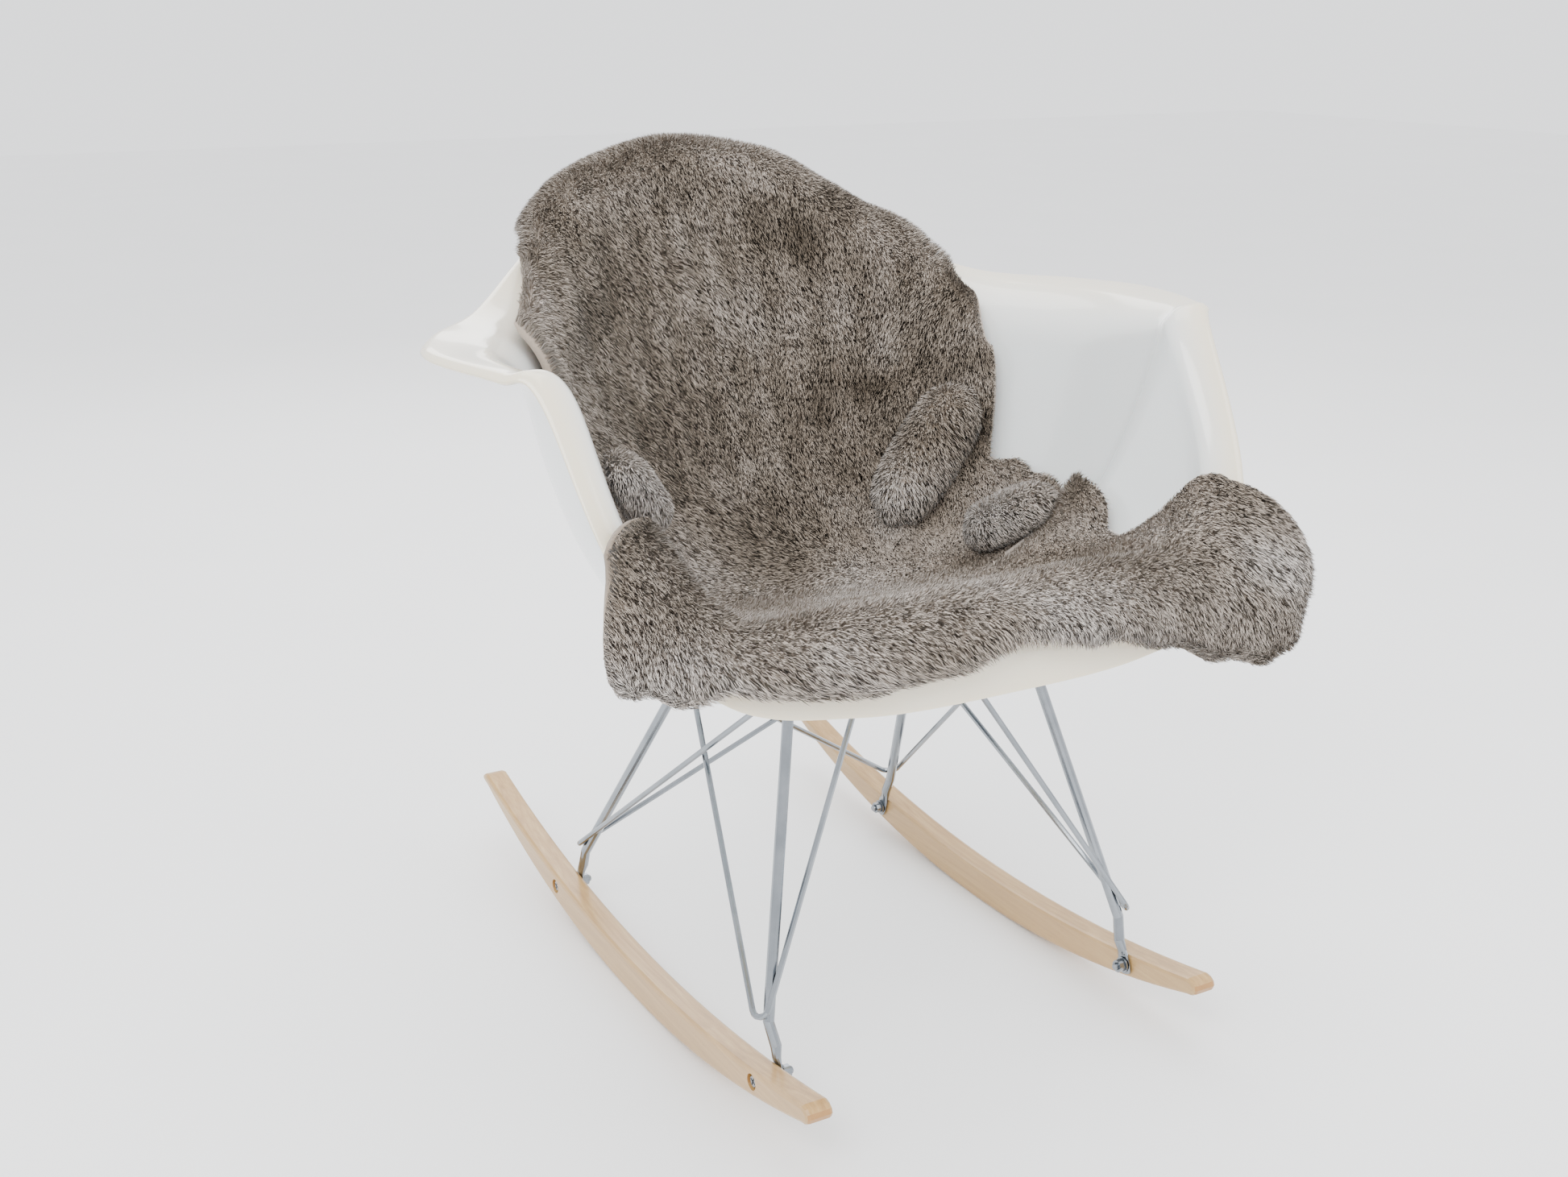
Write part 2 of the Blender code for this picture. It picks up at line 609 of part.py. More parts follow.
def section(s):
    """Section of the wall's middle surface from the seat's centre to the lip's end."""
    end = rim_point(s)
    slope, flare_r, flare_end, flat, roll_r, roll_end, square = smooth_through(RIM_FORM, s)
    slope, flare_end, roll_end = (math.radians(angle) for angle in (slope, flare_end, roll_end))
    centre = np.array((0.0, PAN_CENTRE_Y))
    out = end[:2] - centre
    reach = float(np.hypot(*out))
    out = out / reach
    lip = arc_steps((0.0, 0.0), flare_r, slope, flare_end, SHELL_FLARE_ROWS)
    flat_end = (lip[-1][0] + flat * math.cos(flare_end), lip[-1][1] + flat * math.sin(flare_end))
    lip += arc_steps(flat_end, roll_r, flare_end, roll_end, SHELL_ROLL_ROWS)
    wall_reach = reach - lip[-1][0]
    wall_top = end[2] - lip[-1][1]
    wall_y = centre[1] + out[1] * wall_reach
    rise = wall_top - pan_height(wall_y)
    lean = rise / math.tan(slope)
    base = wall_reach - lean
    points = []
    for i in range(SHELL_WALL_ROWS + 1):
        turn = math.pi / 2 * (PAN_HOLE + (1 - PAN_HOLE) * i / SHELL_WALL_ROWS)
        share = 1 - math.cos(turn)
        rho = base * math.sin(turn) ** (2 / square) + lean * share
        place = centre + out * rho
        pan = pan_height(place[1])
        points.append((place[0], place[1], pan + (wall_top - pan) * share))
    for over, lift in lip:
        place = centre + out * (wall_reach + over)
        points.append((place[0], place[1], wall_top + lift))
    return points


def even_places(count):
    """Places round the chair, in rim points, from the middle of the front."""
    return np.arange(count) * 2.0 * (len(RIM) - 1) / count


def wall_grid(places):
    """One section of the wall at each place, all the way round."""
    back = len(RIM) - 1
    rows = []
    for place in places:
        if place <= back:
            rows.append(section(place / back))
        else:
            rows.append([(-x, y, z) for x, y, z in section(2.0 - place / back)])
    return np.array(rows)


def grid_normals(grid):
    """Unit normals that point into the tub."""
    around = np.roll(grid, -1, axis=0) - np.roll(grid, 1, axis=0)
    outward = np.gradient(grid, axis=1)
    normal = np.cross(outward, around)
    normal /= np.linalg.norm(normal, axis=2, keepdims=True)
    if normal[:, 0, 2].mean() < 0:
        normal = -normal
    return normal


def sheet_faces(stations, rows):
    """Faces of a closed thick bowl: two layers of stations x rows points, then two centres."""
    size = stations * rows
    edge = rows - 1
    faces = []
    for i in range(stations):
        k = (i + 1) % stations
        for j in range(rows - 1):
            quad = (i * rows + j, i * rows + j + 1, k * rows + j + 1, k * rows + j)
            faces.append(quad)
            faces.append(tuple(size + v for v in reversed(quad)))
        faces.append((2 * size, i * rows, k * rows))
        faces.append((2 * size + 1, size + k * rows, size + i * rows))
        faces.append((i * rows + edge, size + i * rows + edge, size + k * rows + edge, k * rows + edge))
    return faces


def make_shell():
    grid = wall_grid(even_places(SHELL_STATIONS))
    normal = grid_normals(grid)
    stations, rows = grid.shape[:2]
    inner = grid + normal * SHELL_THICK / 2
    outer = grid - normal * SHELL_THICK / 2
    points = [tuple(p) for layer in (inner, outer) for row in layer for p in row]
    centre_height = pan_height(PAN_CENTRE_Y)
    up = pan_normal() * SHELL_THICK / 2
    middle = Vector((0, PAN_CENTRE_Y, centre_height))
    points += [tuple(middle + up), tuple(middle - up)]
    return add_mesh("seat_shell", points, sheet_faces(stations, rows), shell_white(), sharp=60)


# ------------------------------------------------------------------ throw
def hide_form(place):
    """Reach, leaving slope and fall radius at a place round the chair."""
    knots = [row[0] for row in HIDE_FORM]
    i = max(k for k in range(len(knots) - 1) if knots[k] <= place)
    t = (place - knots[i]) / (knots[i + 1] - knots[i])
    ease = t * t * (3 - 2 * t)
    return [a + (b - a) * ease for a, b in zip(HIDE_FORM[i][1:], HIDE_FORM[i + 1][1:])]


def hide_path(wall_rows, form, drape):
    """One section of the hide's middle surface, from the seat's centre over the lip and down."""
    slope, flare_r = math.radians(form[0]), form[1]
    reach, leave, fall_r = drape
    leave = math.radians(leave)
    out = wall_rows[-1][:2] - np.array((0.0, PAN_CENTRE_Y))
    out = out / np.hypot(*out)
    over = arc_steps((0.0, 0.0), flare_r + SHELL_THICK / 2 + HIDE_GAP + HIDE_THICK / 2, slope, leave, 8)
    over += arc_steps(over[-1], fall_r, leave, math.radians(-88), 8)
    over.append((over[-1][0], over[-1][1] - 0.08))
    top = wall_rows[-1]
    past = [(top[0] + out[0] * a, top[1] + out[1] * a, top[2] + b) for a, b in over]
    path = np.vstack([wall_rows, np.array(past)])
    steps = np.diff(path, axis=0)
    sizes = np.linalg.norm(steps, axis=1)
    heading = steps / sizes[:, None]
    turns = np.arccos(np.clip((heading[1:] * heading[:-1]).sum(axis=1), -1, 1))
    turns = (np.append(turns, 0.0) + np.append(0.0, turns)) / 2
    lengths = np.append(0.0, np.cumsum(sizes))
    effort = np.append(0.0, np.cumsum(sizes + HIDE_BEND_WEIGHT * turns))
    last = np.interp(lengths[len(wall_rows) - 1] + reach, lengths, effort)
    wanted = np.linspace(0.0, last, HIDE_ROWS)
    return np.stack([np.interp(wanted, effort, path[:, axis]) for axis in range(3)], axis=1)


def hide_places():
    """Stations of the hide, closer together where its edge runs across the lip."""
    fine = even_places(HIDE_STATIONS * 20)
    reach = np.array([hide_form(place)[0] for place in fine])
    climb = np.abs(np.gradient(reach, fine))
    effort = np.append(0.0, np.cumsum(1.0 + HIDE_CROWDING * climb))
    wanted = np.arange(HIDE_STATIONS) * effort[-1] / HIDE_STATIONS
    return np.interp(wanted, effort, np.append(fine, 2.0 * (len(RIM) - 1)))


def hide_grid():
    """Middle surface of the hide: one row of points for every station round the chair."""
    places = hide_places()
    grid = wall_grid(places)
    lift = grid + grid_normals(grid) * (SHELL_THICK / 2 + HIDE_GAP + HIDE_THICK / 2)
    back = len(RIM) - 1
    sections = []
    for place, wall in zip(places, lift[:, :SHELL_WALL_ROWS + 1]):
        form = smooth_through(RIM_FORM, min(place, 2 * back - place) / back)
        sections.append(hide_path(wall, form, hide_form(place)))
    return np.array(sections)


def make_hide():
    grid = hide_grid()
    stations, rows = grid.shape[:2]
    steps = np.linalg.norm(np.diff(grid, axis=1), axis=2)
    from_edge = np.concatenate([np.cumsum(steps[:, ::-1], axis=1)[:, ::-1], np.zeros((stations, 1))], axis=1)
    near = np.clip(1 - from_edge / HIDE_EDGE, 0, 1)
    half = HIDE_THICK / 2 * np.maximum(np.sqrt(1 - near ** 2), 0.25)
    normal = grid_normals(grid)
    upper = grid + normal * half[..., None]
    lower = grid - normal * half[..., None]
    middle = grid[:, 0].mean(axis=0)
    up = np.array(pan_normal()) * HIDE_THICK / 2
    points = [tuple(p) for layer in (upper, lower) for row in layer for p in row]
    points += [tuple(middle + up), tuple(middle - up)]
    return add_mesh("throw_hide", points, sheet_faces(stations, rows), fur(), sharp=60)


def make_paw(side_name, hide):
    """One of the hide's hanging paws: a soft pad that lies on the hide, cut as its own solid."""
    start, middle, tip, half_width = PAWS[side_name]
    start, middle, tip = Vector(start), Vector(middle), Vector(tip)
    surface = mesh_surface(hide)
    points = []
    for i in range(PAW_SECTIONS):
        t = i / (PAW_SECTIONS - 1)
        centre = start * (1 - t) ** 2 + middle * 2 * t * (1 - t) + tip * t * t
        along = ((middle - start) * (1 - t) + (tip - middle) * t).normalized()
        place, normal = surface.find_nearest(centre)[:2]
        normal = (normal - along * normal.dot(along)).normalized()
        across = along.cross(normal)
        round_end = math.sqrt(max(1 - abs(2 * t - 1) ** 4, 0.03))
        lower, upper = [], []
        for j in range(PAW_COLUMNS):
            w = math.sin(math.pi / 2 * (2 * j / (PAW_COLUMNS - 1) - 1))
            flat = place + across * w * half_width * round_end
            hit = surface.ray_cast(flat + normal * PAW_SEARCH, -normal)[0] or flat
            dome = PAW_THICK * round_end * max(math.sqrt(1 - w * w), 0.2)
            lower.append(hit + normal * PAW_GAP)
            upper.append(hit + normal * (PAW_GAP + dome))
        points += lower + upper[::-1]
    return add_mesh("throw_paw_" + side_name, points, ring_faces(PAW_SECTIONS, 2 * PAW_COLUMNS), fur(), sharp=60)


# ------------------------------------------------------------------ build
def build():
    clear_scene()
    shell_surface = mesh_surface(make_shell())
    for side_name, side in (("left", -1), ("right", 1)):
        make_runner(side_name, side)
        make_side_rail(side_name, side)
        for end in ("front", "rear"):
            make_runner_bolt(end, side_name, side)
            make_mount(end, side_name, side, shell_surface)
    for end in ("front", "rear"):
        frame = make_leg_frame(end)
        punch_feet(frame, end)
    make_braces()
    hide = make_hide()
    for side_name in PAWS:
        make_paw(side_name, hide)


build()
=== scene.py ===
# %% [markdown]
# # A rocking armchair with a fur throw
#
# The real chair is a glossy moulded bucket on a base of bent wire, with two curved beech
# runners, and a loose fur hide lies over its back, seat and front corners. The exact solids
# come in as a fixed frame. The wires, runners and fasteners already have the right shape, so
# they only get finishes. The bucket and the hide are made again here at a finer grain.

import json
import math

import bpy
import numpy as np
from mathutils import Matrix, Vector


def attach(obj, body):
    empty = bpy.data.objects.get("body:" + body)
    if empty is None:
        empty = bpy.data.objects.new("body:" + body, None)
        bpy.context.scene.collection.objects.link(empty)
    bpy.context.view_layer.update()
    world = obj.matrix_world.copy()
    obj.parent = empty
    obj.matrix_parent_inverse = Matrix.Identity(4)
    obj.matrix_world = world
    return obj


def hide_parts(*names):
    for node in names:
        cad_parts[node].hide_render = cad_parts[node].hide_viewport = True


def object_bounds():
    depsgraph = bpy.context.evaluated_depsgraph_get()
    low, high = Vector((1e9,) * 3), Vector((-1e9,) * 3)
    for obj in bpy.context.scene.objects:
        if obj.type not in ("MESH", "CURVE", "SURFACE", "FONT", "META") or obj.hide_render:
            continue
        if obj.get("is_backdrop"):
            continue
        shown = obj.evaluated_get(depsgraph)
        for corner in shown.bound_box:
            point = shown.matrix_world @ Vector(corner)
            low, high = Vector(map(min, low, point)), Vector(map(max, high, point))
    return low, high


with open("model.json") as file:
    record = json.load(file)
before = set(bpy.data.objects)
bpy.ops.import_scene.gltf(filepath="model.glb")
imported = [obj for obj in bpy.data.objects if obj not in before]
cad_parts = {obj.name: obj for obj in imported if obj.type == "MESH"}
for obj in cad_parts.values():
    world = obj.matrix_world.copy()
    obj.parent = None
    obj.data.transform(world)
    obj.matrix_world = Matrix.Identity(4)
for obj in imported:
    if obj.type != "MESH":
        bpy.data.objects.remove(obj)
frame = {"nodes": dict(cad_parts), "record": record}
cad_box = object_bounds()

# %% [markdown]
# ## Camera
#
# The chair is seen from its front, a little from its right-hand side and from above. A camera
# could be aimed with a constraint, but writing its axes out from two angles keeps the view
# exact, and a very small roll can be added to them.

# %% Camera
VIEW_AZIMUTH = math.radians(-29.4675)
VIEW_ELEVATION = math.radians(18.2216)
VIEW_ROLL = math.radians(0.1645)
VIEW_PLACE = Vector((-0.7408, -1.2632, 0.8076))
LENS_MM, SENSOR_MM = 41.54, 36.0


def camera_axes(azimuth, elevation, roll):
    """The camera's right, up and backward directions."""
    back = Vector((math.sin(azimuth) * math.cos(elevation),
                   -math.cos(azimuth) * math.cos(elevation), math.sin(elevation)))
    right = Vector((math.cos(azimuth), math.sin(azimuth), 0.0))
    up = back.cross(right)
    rolled = right * math.cos(roll) + up * math.sin(roll)
    return rolled, up * math.cos(roll) - right * math.sin(roll), back


lens = bpy.data.cameras.new("studio_camera")
lens.lens = LENS_MM
lens.sensor_width = SENSOR_MM
camera = bpy.data.objects.new("studio_camera", lens)
bpy.context.scene.collection.objects.link(camera)
camera.matrix_world = (Matrix.Translation(VIEW_PLACE)
                       @ Matrix(camera_axes(VIEW_AZIMUTH, VIEW_ELEVATION, VIEW_ROLL))
                       .transposed().to_4x4())
bpy.context.scene.camera = camera
print("camera stands", round(VIEW_PLACE.length, 2), "m from the floor under the chair")

# %% [markdown]
# ## Light
#
# A product studio has large soft boxes and a bright room. Area lamps give the long pale
# streaks on the glossy bucket, and a pale world fills the shade so that the fur stays open.
# Small lamps would put hard spots on the gloss.

# %% Light
def soft_box(name, place, target, width, height, watts):
    """A rectangular area lamp that faces a target."""
    lamp = bpy.data.lights.new(name, 'AREA')
    lamp.shape = 'RECTANGLE'
    lamp.size = width
    lamp.size_y = height
    lamp.energy = watts
    box = bpy.data.objects.new(name, lamp)
    bpy.context.scene.collection.objects.link(box)
    box.location = place
    box.rotation_euler = (Vector(target) - Vector(place)).to_track_quat('-Z', 'Y').to_euler()


CHAIR_MIDDLE = (0.0, 0.0, 0.40)
soft_box("key_box", (-1.7, -1.5, 2.2), CHAIR_MIDDLE, 1.4, 1.4, 52)
soft_box("fill_box", (2.2, -1.6, 1.5), CHAIR_MIDDLE, 1.6, 1.6, 26)
soft_box("top_box", (0.2, 0.3, 2.6), CHAIR_MIDDLE, 1.8, 1.8, 34)
soft_box("back_box", (0.6, 2.2, 1.6), CHAIR_MIDDLE, 1.6, 1.2, 20)
room = bpy.data.worlds.new("pale_room")
room.use_nodes = True
ROOM_COLOUR, ROOM_STRENGTH = (0.97, 0.98, 1.0, 1.0), 1.85
room.node_tree.nodes["Background"].inputs["Color"].default_value = ROOM_COLOUR
room.node_tree.nodes["Background"].inputs["Strength"].default_value = ROOM_STRENGTH
bpy.context.scene.world = room

# %% [markdown]
# ## Finishes made of nodes
#
# Each finish is a Principled shader with a few texture nodes. A short helper adds a node,
# sets its sockets and links it, so that each recipe below reads as a list of its steps.
# Object coordinates are metres here, because every piece sits at the origin.

# %% Node helpers
def new_finish(name, roughness, metallic=0.0, **constants):
    """A material with a Principled shader; the constants go on the shader's own sockets."""
    made = bpy.data.materials.new(name)
    made.use_nodes = True
    shader = made.node_tree.nodes["Principled BSDF"]
    shader.inputs["Roughness"].default_value = roughness
    shader.inputs["Metallic"].default_value = metallic
    for socket, value in constants.items():
        shader.inputs[socket.replace("_", " ")].default_value = value
    return made


def step(made, kind, inputs=None, **settings):
    """Adds one node; a linked input is given as (node, output name)."""
    node = made.node_tree.nodes.new(kind)
    for key, value in settings.items():
        setattr(node, key, value)
    for socket, value in (inputs or {}).items():
        if isinstance(value, tuple) and len(value) == 2 and isinstance(value[1], str):
            made.node_tree.links.new(value[0].outputs[value[1]], node.inputs[socket])
        else:
            node.inputs[socket].default_value = value
    return node


def feed(made, socket, source, output):
    """Links a node's output to a socket of the shader."""
    shader = made.node_tree.nodes["Principled BSDF"]
    made.node_tree.links.new(source.outputs[output], shader.inputs[socket])


def ramp(made, source, output, stops):
    """A colour ramp over a value, from (place, colour) stops."""
    node = step(made, "ShaderNodeValToRGB", {"Fac": (source, output)})
    stop_list = node.color_ramp.elements
    while len(stop_list) < len(stops):
        stop_list.new(0.5)
    for element, (place, colour) in zip(stop_list, stops):
        element.position = place
        element.color = (*colour, 1.0)
    return node


def stretched(made, scale=(1.0, 1.0, 1.0)):
    """Object coordinates, in metres, multiplied by a scale on each axis."""
    where = step(made, "ShaderNodeTexCoord")
    return step(made, "ShaderNodeMapping", {"Vector": (where, "Object"), "Scale": scale})


def noise(made, place, scale, detail, **more):
    """A noise texture over stretched coordinates."""
    return step(made, "ShaderNodeTexNoise", {"Vector": (place, "Vector"), "Scale": scale,
                                             "Detail": detail, **more})


def sums(made, operation, *values):
    """One math node; a linked value is given as (node, output name)."""
    return step(made, "ShaderNodeMath", dict(enumerate(values)), operation=operation)


def remap(made, source, output, low, high, new_low, new_high):
    """Turns a value from low to high into one from new_low to new_high, held past both."""
    return step(made, "ShaderNodeMapRange", {"Value": (source, output), 1: low, 2: high,
                                             3: new_low, 4: new_high})


def mix(made, share, first, second, **settings):
    """A mix of two colours; each of the three can be a value or (node, output name)."""
    return step(made, "ShaderNodeMix", {"Factor": share, "A": first, "B": second},
                data_type='RGBA', **settings)


def bump(made, source, output, distance, strength):
    """Fine relief on the shader's normal, with its height in metres."""
    node = step(made, "ShaderNodeBump", {"Height": (source, output), "Distance": distance,
                                         "Strength": strength})
    feed(made, "Normal", node, "Normal")


# %% [markdown]
# ### Moulded shell
#
# The bucket is moulded in a glossy plastic. Its broad walls look cool white, its rolled edge
# and its front lip lean to ivory, and the surface has a very fine orange peel. The edge tone
# is read from a value stored on the mesh, so it follows the lip wherever it goes.

# %% Shell finish
shell_finish = new_finish("glossy_shell", 0.17, Coat_Weight=0.5, Coat_Roughness=0.05,
                          Specular_IOR_Level=0.55, Subsurface_Weight=0.04,
                          Subsurface_Scale=0.01)
lip_share = step(shell_finish, "ShaderNodeAttribute", attribute_name="lip_share")
peel_place = stretched(shell_finish)
cloud = noise(shell_finish, peel_place, 9.0, 2.0)
cloudy = sums(shell_finish, 'MULTIPLY_ADD', (cloud, "Fac"), 0.12, -0.06)
lip_tone = sums(shell_finish, 'ADD', (lip_share, "Fac"), (cloudy, "Value"))
shell_colour = ramp(shell_finish, lip_tone, "Value",
                    [(0.0, (0.76, 0.80, 0.80)), (0.35, (0.80, 0.81, 0.78)),
                     (1.0, (0.85, 0.77, 0.59))])
feed(shell_finish, "Base Color", shell_colour, "Color")
peel = noise(shell_finish, peel_place, 420.0, 2.0)
bump(shell_finish, peel, "Fac", 0.00012, 0.5)
print("made", shell_finish.name)

# %% [markdown]
# ### Varnished beech
#
# Beech has a close, straight grain with short dark flecks. The runners are cut so that the
# grain runs fore and aft, so the noise is stretched along that axis. The sides look paler
# than the tops, and the cut ends, where the pores show, are a deep amber.

# %% Beech finish
beech_finish = new_finish("varnished_beech", 0.34, Coat_Weight=0.35, Coat_Roughness=0.18)
grain_place = stretched(beech_finish, (150.0, 5.0, 150.0))
grain = noise(beech_finish, grain_place, 1.6, 6.0, Roughness=0.6, Distortion=0.4)
fleck_place = stretched(beech_finish, (900.0, 90.0, 900.0))
flecks = noise(beech_finish, fleck_place, 1.0, 2.0)
fleck_dark = remap(beech_finish, flecks, "Fac", 0.62, 0.78, 0.0, 0.45)
beech_colour = ramp(beech_finish, grain, "Fac",
                    [(0.25, (0.33, 0.175, 0.050)), (0.5, (0.44, 0.255, 0.085)),
                     (0.75, (0.55, 0.35, 0.14))])
facing = step(beech_finish, "ShaderNodeNewGeometry")
parts_of_normal = step(beech_finish, "ShaderNodeSeparateXYZ", {0: (facing, "True Normal")})
sideways = sums(beech_finish, 'ABSOLUTE', (parts_of_normal, "X"))
side_paler = sums(beech_finish, 'MULTIPLY', (sideways, "Value"), 0.45)
side_mix = mix(beech_finish, (side_paler, "Value"), (beech_colour, "Color"),
               (0.46, 0.31, 0.15, 1.0))
endways = sums(beech_finish, 'ABSOLUTE', (parts_of_normal, "Y"))
end_share = remap(beech_finish, endways, "Value", 0.6, 0.9, 0.0, 0.8)
end_mix = mix(beech_finish, (end_share, "Result"), (side_mix, "Result"),
              (0.36, 0.17, 0.045, 1.0))
fleck_mix = mix(beech_finish, (fleck_dark, "Result"), (end_mix, "Result"),
                (0.30, 0.16, 0.06, 1.0))
feed(beech_finish, "Base Color", fleck_mix, "Result")
bump(beech_finish, grain, "Fac", 0.00015, 0.35)
print("made", beech_finish.name)

# %% [markdown]
# ### Zinc-plated wire
#
# The rods and fasteners are plated steel: bright, a little blue, with very fine marks and
# slightly clouded. The clouding varies both the colour and how sharp the reflections are.

# %% Metal finish
zinc_finish = new_finish("zinc_plate", 0.26, metallic=1.0)
plate_place = stretched(zinc_finish)
plate_cloud = noise(zinc_finish, plate_place, 35.0, 3.0)
zinc_colour = ramp(zinc_finish, plate_cloud, "Fac",
                   [(0.3, (0.23, 0.25, 0.27)), (0.7, (0.30, 0.32, 0.345))])
feed(zinc_finish, "Base Color", zinc_colour, "Color")
zinc_gloss = remap(zinc_finish, plate_cloud, "Fac", 0.3, 0.7, 0.16, 0.24)
feed(zinc_finish, "Roughness", zinc_gloss, "Result")
draw_marks = noise(zinc_finish, plate_place, 900.0, 2.0)
bump(zinc_finish, draw_marks, "Fac", 0.00004, 0.4)
print("made", zinc_finish.name)

# %% [markdown]
# ### Rubber mounts
#
# The pads that join the bucket to its base are black rubber, dull, with a fine moulded grain
# and a little pale dust in it.

# %% Rubber finish
rubber_finish = new_finish("black_rubber", 0.62)
rubber_grain = noise(rubber_finish, stretched(rubber_finish), 700.0, 3.0)
rubber_colour = ramp(rubber_finish, rubber_grain, "Fac",
                     [(0.35, (0.018, 0.018, 0.019)), (0.75, (0.05, 0.05, 0.052))])
feed(rubber_finish, "Base Color", rubber_colour, "Color")
bump(rubber_finish, rubber_grain, "Fac", 0.0001, 0.5)
print("made", rubber_finish.name)

# %% [markdown]
# ### Fur and skin
#
# Real fur is thousands of hairs in patches of taupe and grey. Each tuft below stores two
# values, its patch tone and how far a point is from the root, and the finish turns them into
# colour, with painted shade that makes the root a little darker than the tip. The skin
# between the roots is a brushed suede of the same tone.

# %% Fur and skin finishes
FUR_TONES = [(0.0, (0.20, 0.160, 0.120)), (0.35, (0.41, 0.342, 0.275)),
             (0.65, (0.61, 0.530, 0.455)), (1.0, (0.80, 0.735, 0.675))]


def fur_colours(made):
    """The stored tone with its painted shade, and a little fine noise, turned into a colour."""
    tone = step(made, "ShaderNodeAttribute", attribute_name="fur_tone")
    wave = noise(made, stretched(made), 160.0, 3.0)
    shifted = sums(made, 'MULTIPLY_ADD', (wave, "Fac"), 0.08, -0.04)
    total = sums(made, 'ADD', (tone, "Fac"), (shifted, "Value"))
    return ramp(made, total, "Value", FUR_TONES)


fur_finish = new_finish("plush_fur", 0.78, Sheen_Weight=0.25, Sheen_Roughness=0.5,
                        Specular_IOR_Level=0.25)
pile_colour = fur_colours(fur_finish)
tip_share = step(fur_finish, "ShaderNodeAttribute", attribute_name="tip_share")
# Painted shade: the pile grows a little darker towards each blade's root.
painted_root_shade = remap(fur_finish, tip_share, "Fac", 0.0, 0.8, 0.94, 1.0)
shaded = mix(fur_finish, 1.0, (pile_colour, "Color"), (painted_root_shade, "Result"),
             blend_type='MULTIPLY')
feed(fur_finish, "Base Color", shaded, "Result")

skin_finish = new_finish("suede_skin", 0.9, Sheen_Weight=0.2, Specular_IOR_Level=0.2)
skin_colour = fur_colours(skin_finish)
skin_dark = mix(skin_finish, 1.0, (skin_colour, "Color"), (0.72, 0.70, 0.68, 1.0),
                blend_type='MULTIPLY')
feed(skin_finish, "Base Color", skin_dark, "Result")
nap = noise(skin_finish, stretched(skin_finish), 380.0, 4.0)
bump(skin_finish, nap, "Fac", 0.0012, 0.8)
print("made", fur_finish.name, "and", skin_finish.name)

# %% [markdown]
# ## Floor
#
# A wide pale floor catches a faint shade under the runners. It is part of the studio and not
# of the chair.

# %% Floor
floor_finish = new_finish("pale_floor", 0.6)
floor_cloud = noise(floor_finish, stretched(floor_finish), 3.0, 3.0)
floor_colour = ramp(floor_finish, floor_cloud, "Fac",
                    [(0.3, (0.94, 0.94, 0.94)), (0.7, (0.96, 0.96, 0.96))])
feed(floor_finish, "Base Color", floor_colour, "Color")
FLOOR_HALF = 9.0
floor_mesh = bpy.data.meshes.new("studio_floor")
floor_mesh.from_pydata([(x * FLOOR_HALF, y * FLOOR_HALF, 0.0)
                        for x, y in ((-1, -1), (1, -1), (1, 1), (-1, 1))], [], [(0, 1, 2, 3)])
floor_mesh.materials.append(floor_finish)
floor = bpy.data.objects.new("studio_floor", floor_mesh)
bpy.context.scene.collection.objects.link(floor)
floor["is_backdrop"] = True
print("floor is", 2 * FLOOR_HALF, "m square")

# %% [markdown]
# ## Finishes on the hard parts
#
# The wires, runners, pads and fasteners keep their solids. Only their material slots change,
# and the record says which finish each of them has.

# %% Finishes on the hard parts
slot_of = {entry["node"]: entry["material_slot"] for entry in frame["record"]["subparts"]}
HARD_FINISH = {"beech": beech_finish, "metal": zinc_finish, "rubber": rubber_finish}
for node_name, node_object in frame["nodes"].items():
    finish = HARD_FINISH.get(slot_of[node_name])
    if finish:
        node_object.data.materials.clear()
        node_object.data.materials.append(finish)
print("hard parts finished:", sum(s in HARD_FINISH for s in slot_of.values()))

# %% [markdown]
# ## The bucket's form
#
# A moulded bucket is easiest to describe as sections that fan out from the middle of the
# seat: each runs flat, turns up into the wall, flares out and rolls over at the lip. The rim
# is a smooth curve through a few points of one half, and the other half is its mirror image.
# For each rim point, RIM_FORM holds the section's wall slope, flare radius, flare's end slope,
# flat, roll radius, roll's end slope and the squareness of its corner. Slopes are in degrees
# and lengths in metres.

# %% Rim and section data
SHELL_THICK = 0.005
PAN_MIDDLE_Y = -0.030
RIM = np.array([(0.000, -0.286, 0.330), (0.127, -0.280, 0.333), (0.226, -0.265, 0.358),
                (0.276, -0.211, 0.441), (0.296, -0.139, 0.546), (0.315, -0.110, 0.555),
                (0.332, -0.022, 0.556), (0.306, 0.050, 0.556), (0.244, 0.124, 0.560),
                (0.174, 0.192, 0.593), (0.094, 0.241, 0.644), (0.000, 0.261, 0.662)])
RIM_FORM = np.array([(20, 0.034, -75, 0.018, 0.012, -86, 2.6),
                     (22, 0.034, -74, 0.017, 0.012, -85, 2.7),
                     (44, 0.026, -60, 0.010, 0.012, -80, 3.3),
                     (72, 0.016, -20, 0.003, 0.012, -70, 4.2),
                     (77, 0.020, 0, 0.004, 0.010, -65, 4.8),
                     (78, 0.032, 5, 0.010, 0.008, -60, 5.0),
                     (78, 0.055, 6, 0.020, 0.008, -60, 5.0),
                     (77, 0.055, 6, 0.022, 0.008, -60, 4.8),
                     (75, 0.050, 8, 0.010, 0.008, -55, 4.4),
                     (74, 0.030, 20, 0.004, 0.008, -40, 4.0),
                     (74, 0.020, 30, 0.003, 0.008, -20, 4.0),
                     (74, 0.018, 30, 0.003, 0.008, -10, 4.0)])
BACK = len(RIM) - 1
REAR_ROD = np.array((0.0118, 0.2652))
FRONT_ROD = np.array((-0.1553, 0.3100))
SEAT_OVER_ROD = 0.0230
CENTRE_HOLE = 0.01              # where each section starts, as a share of its turn
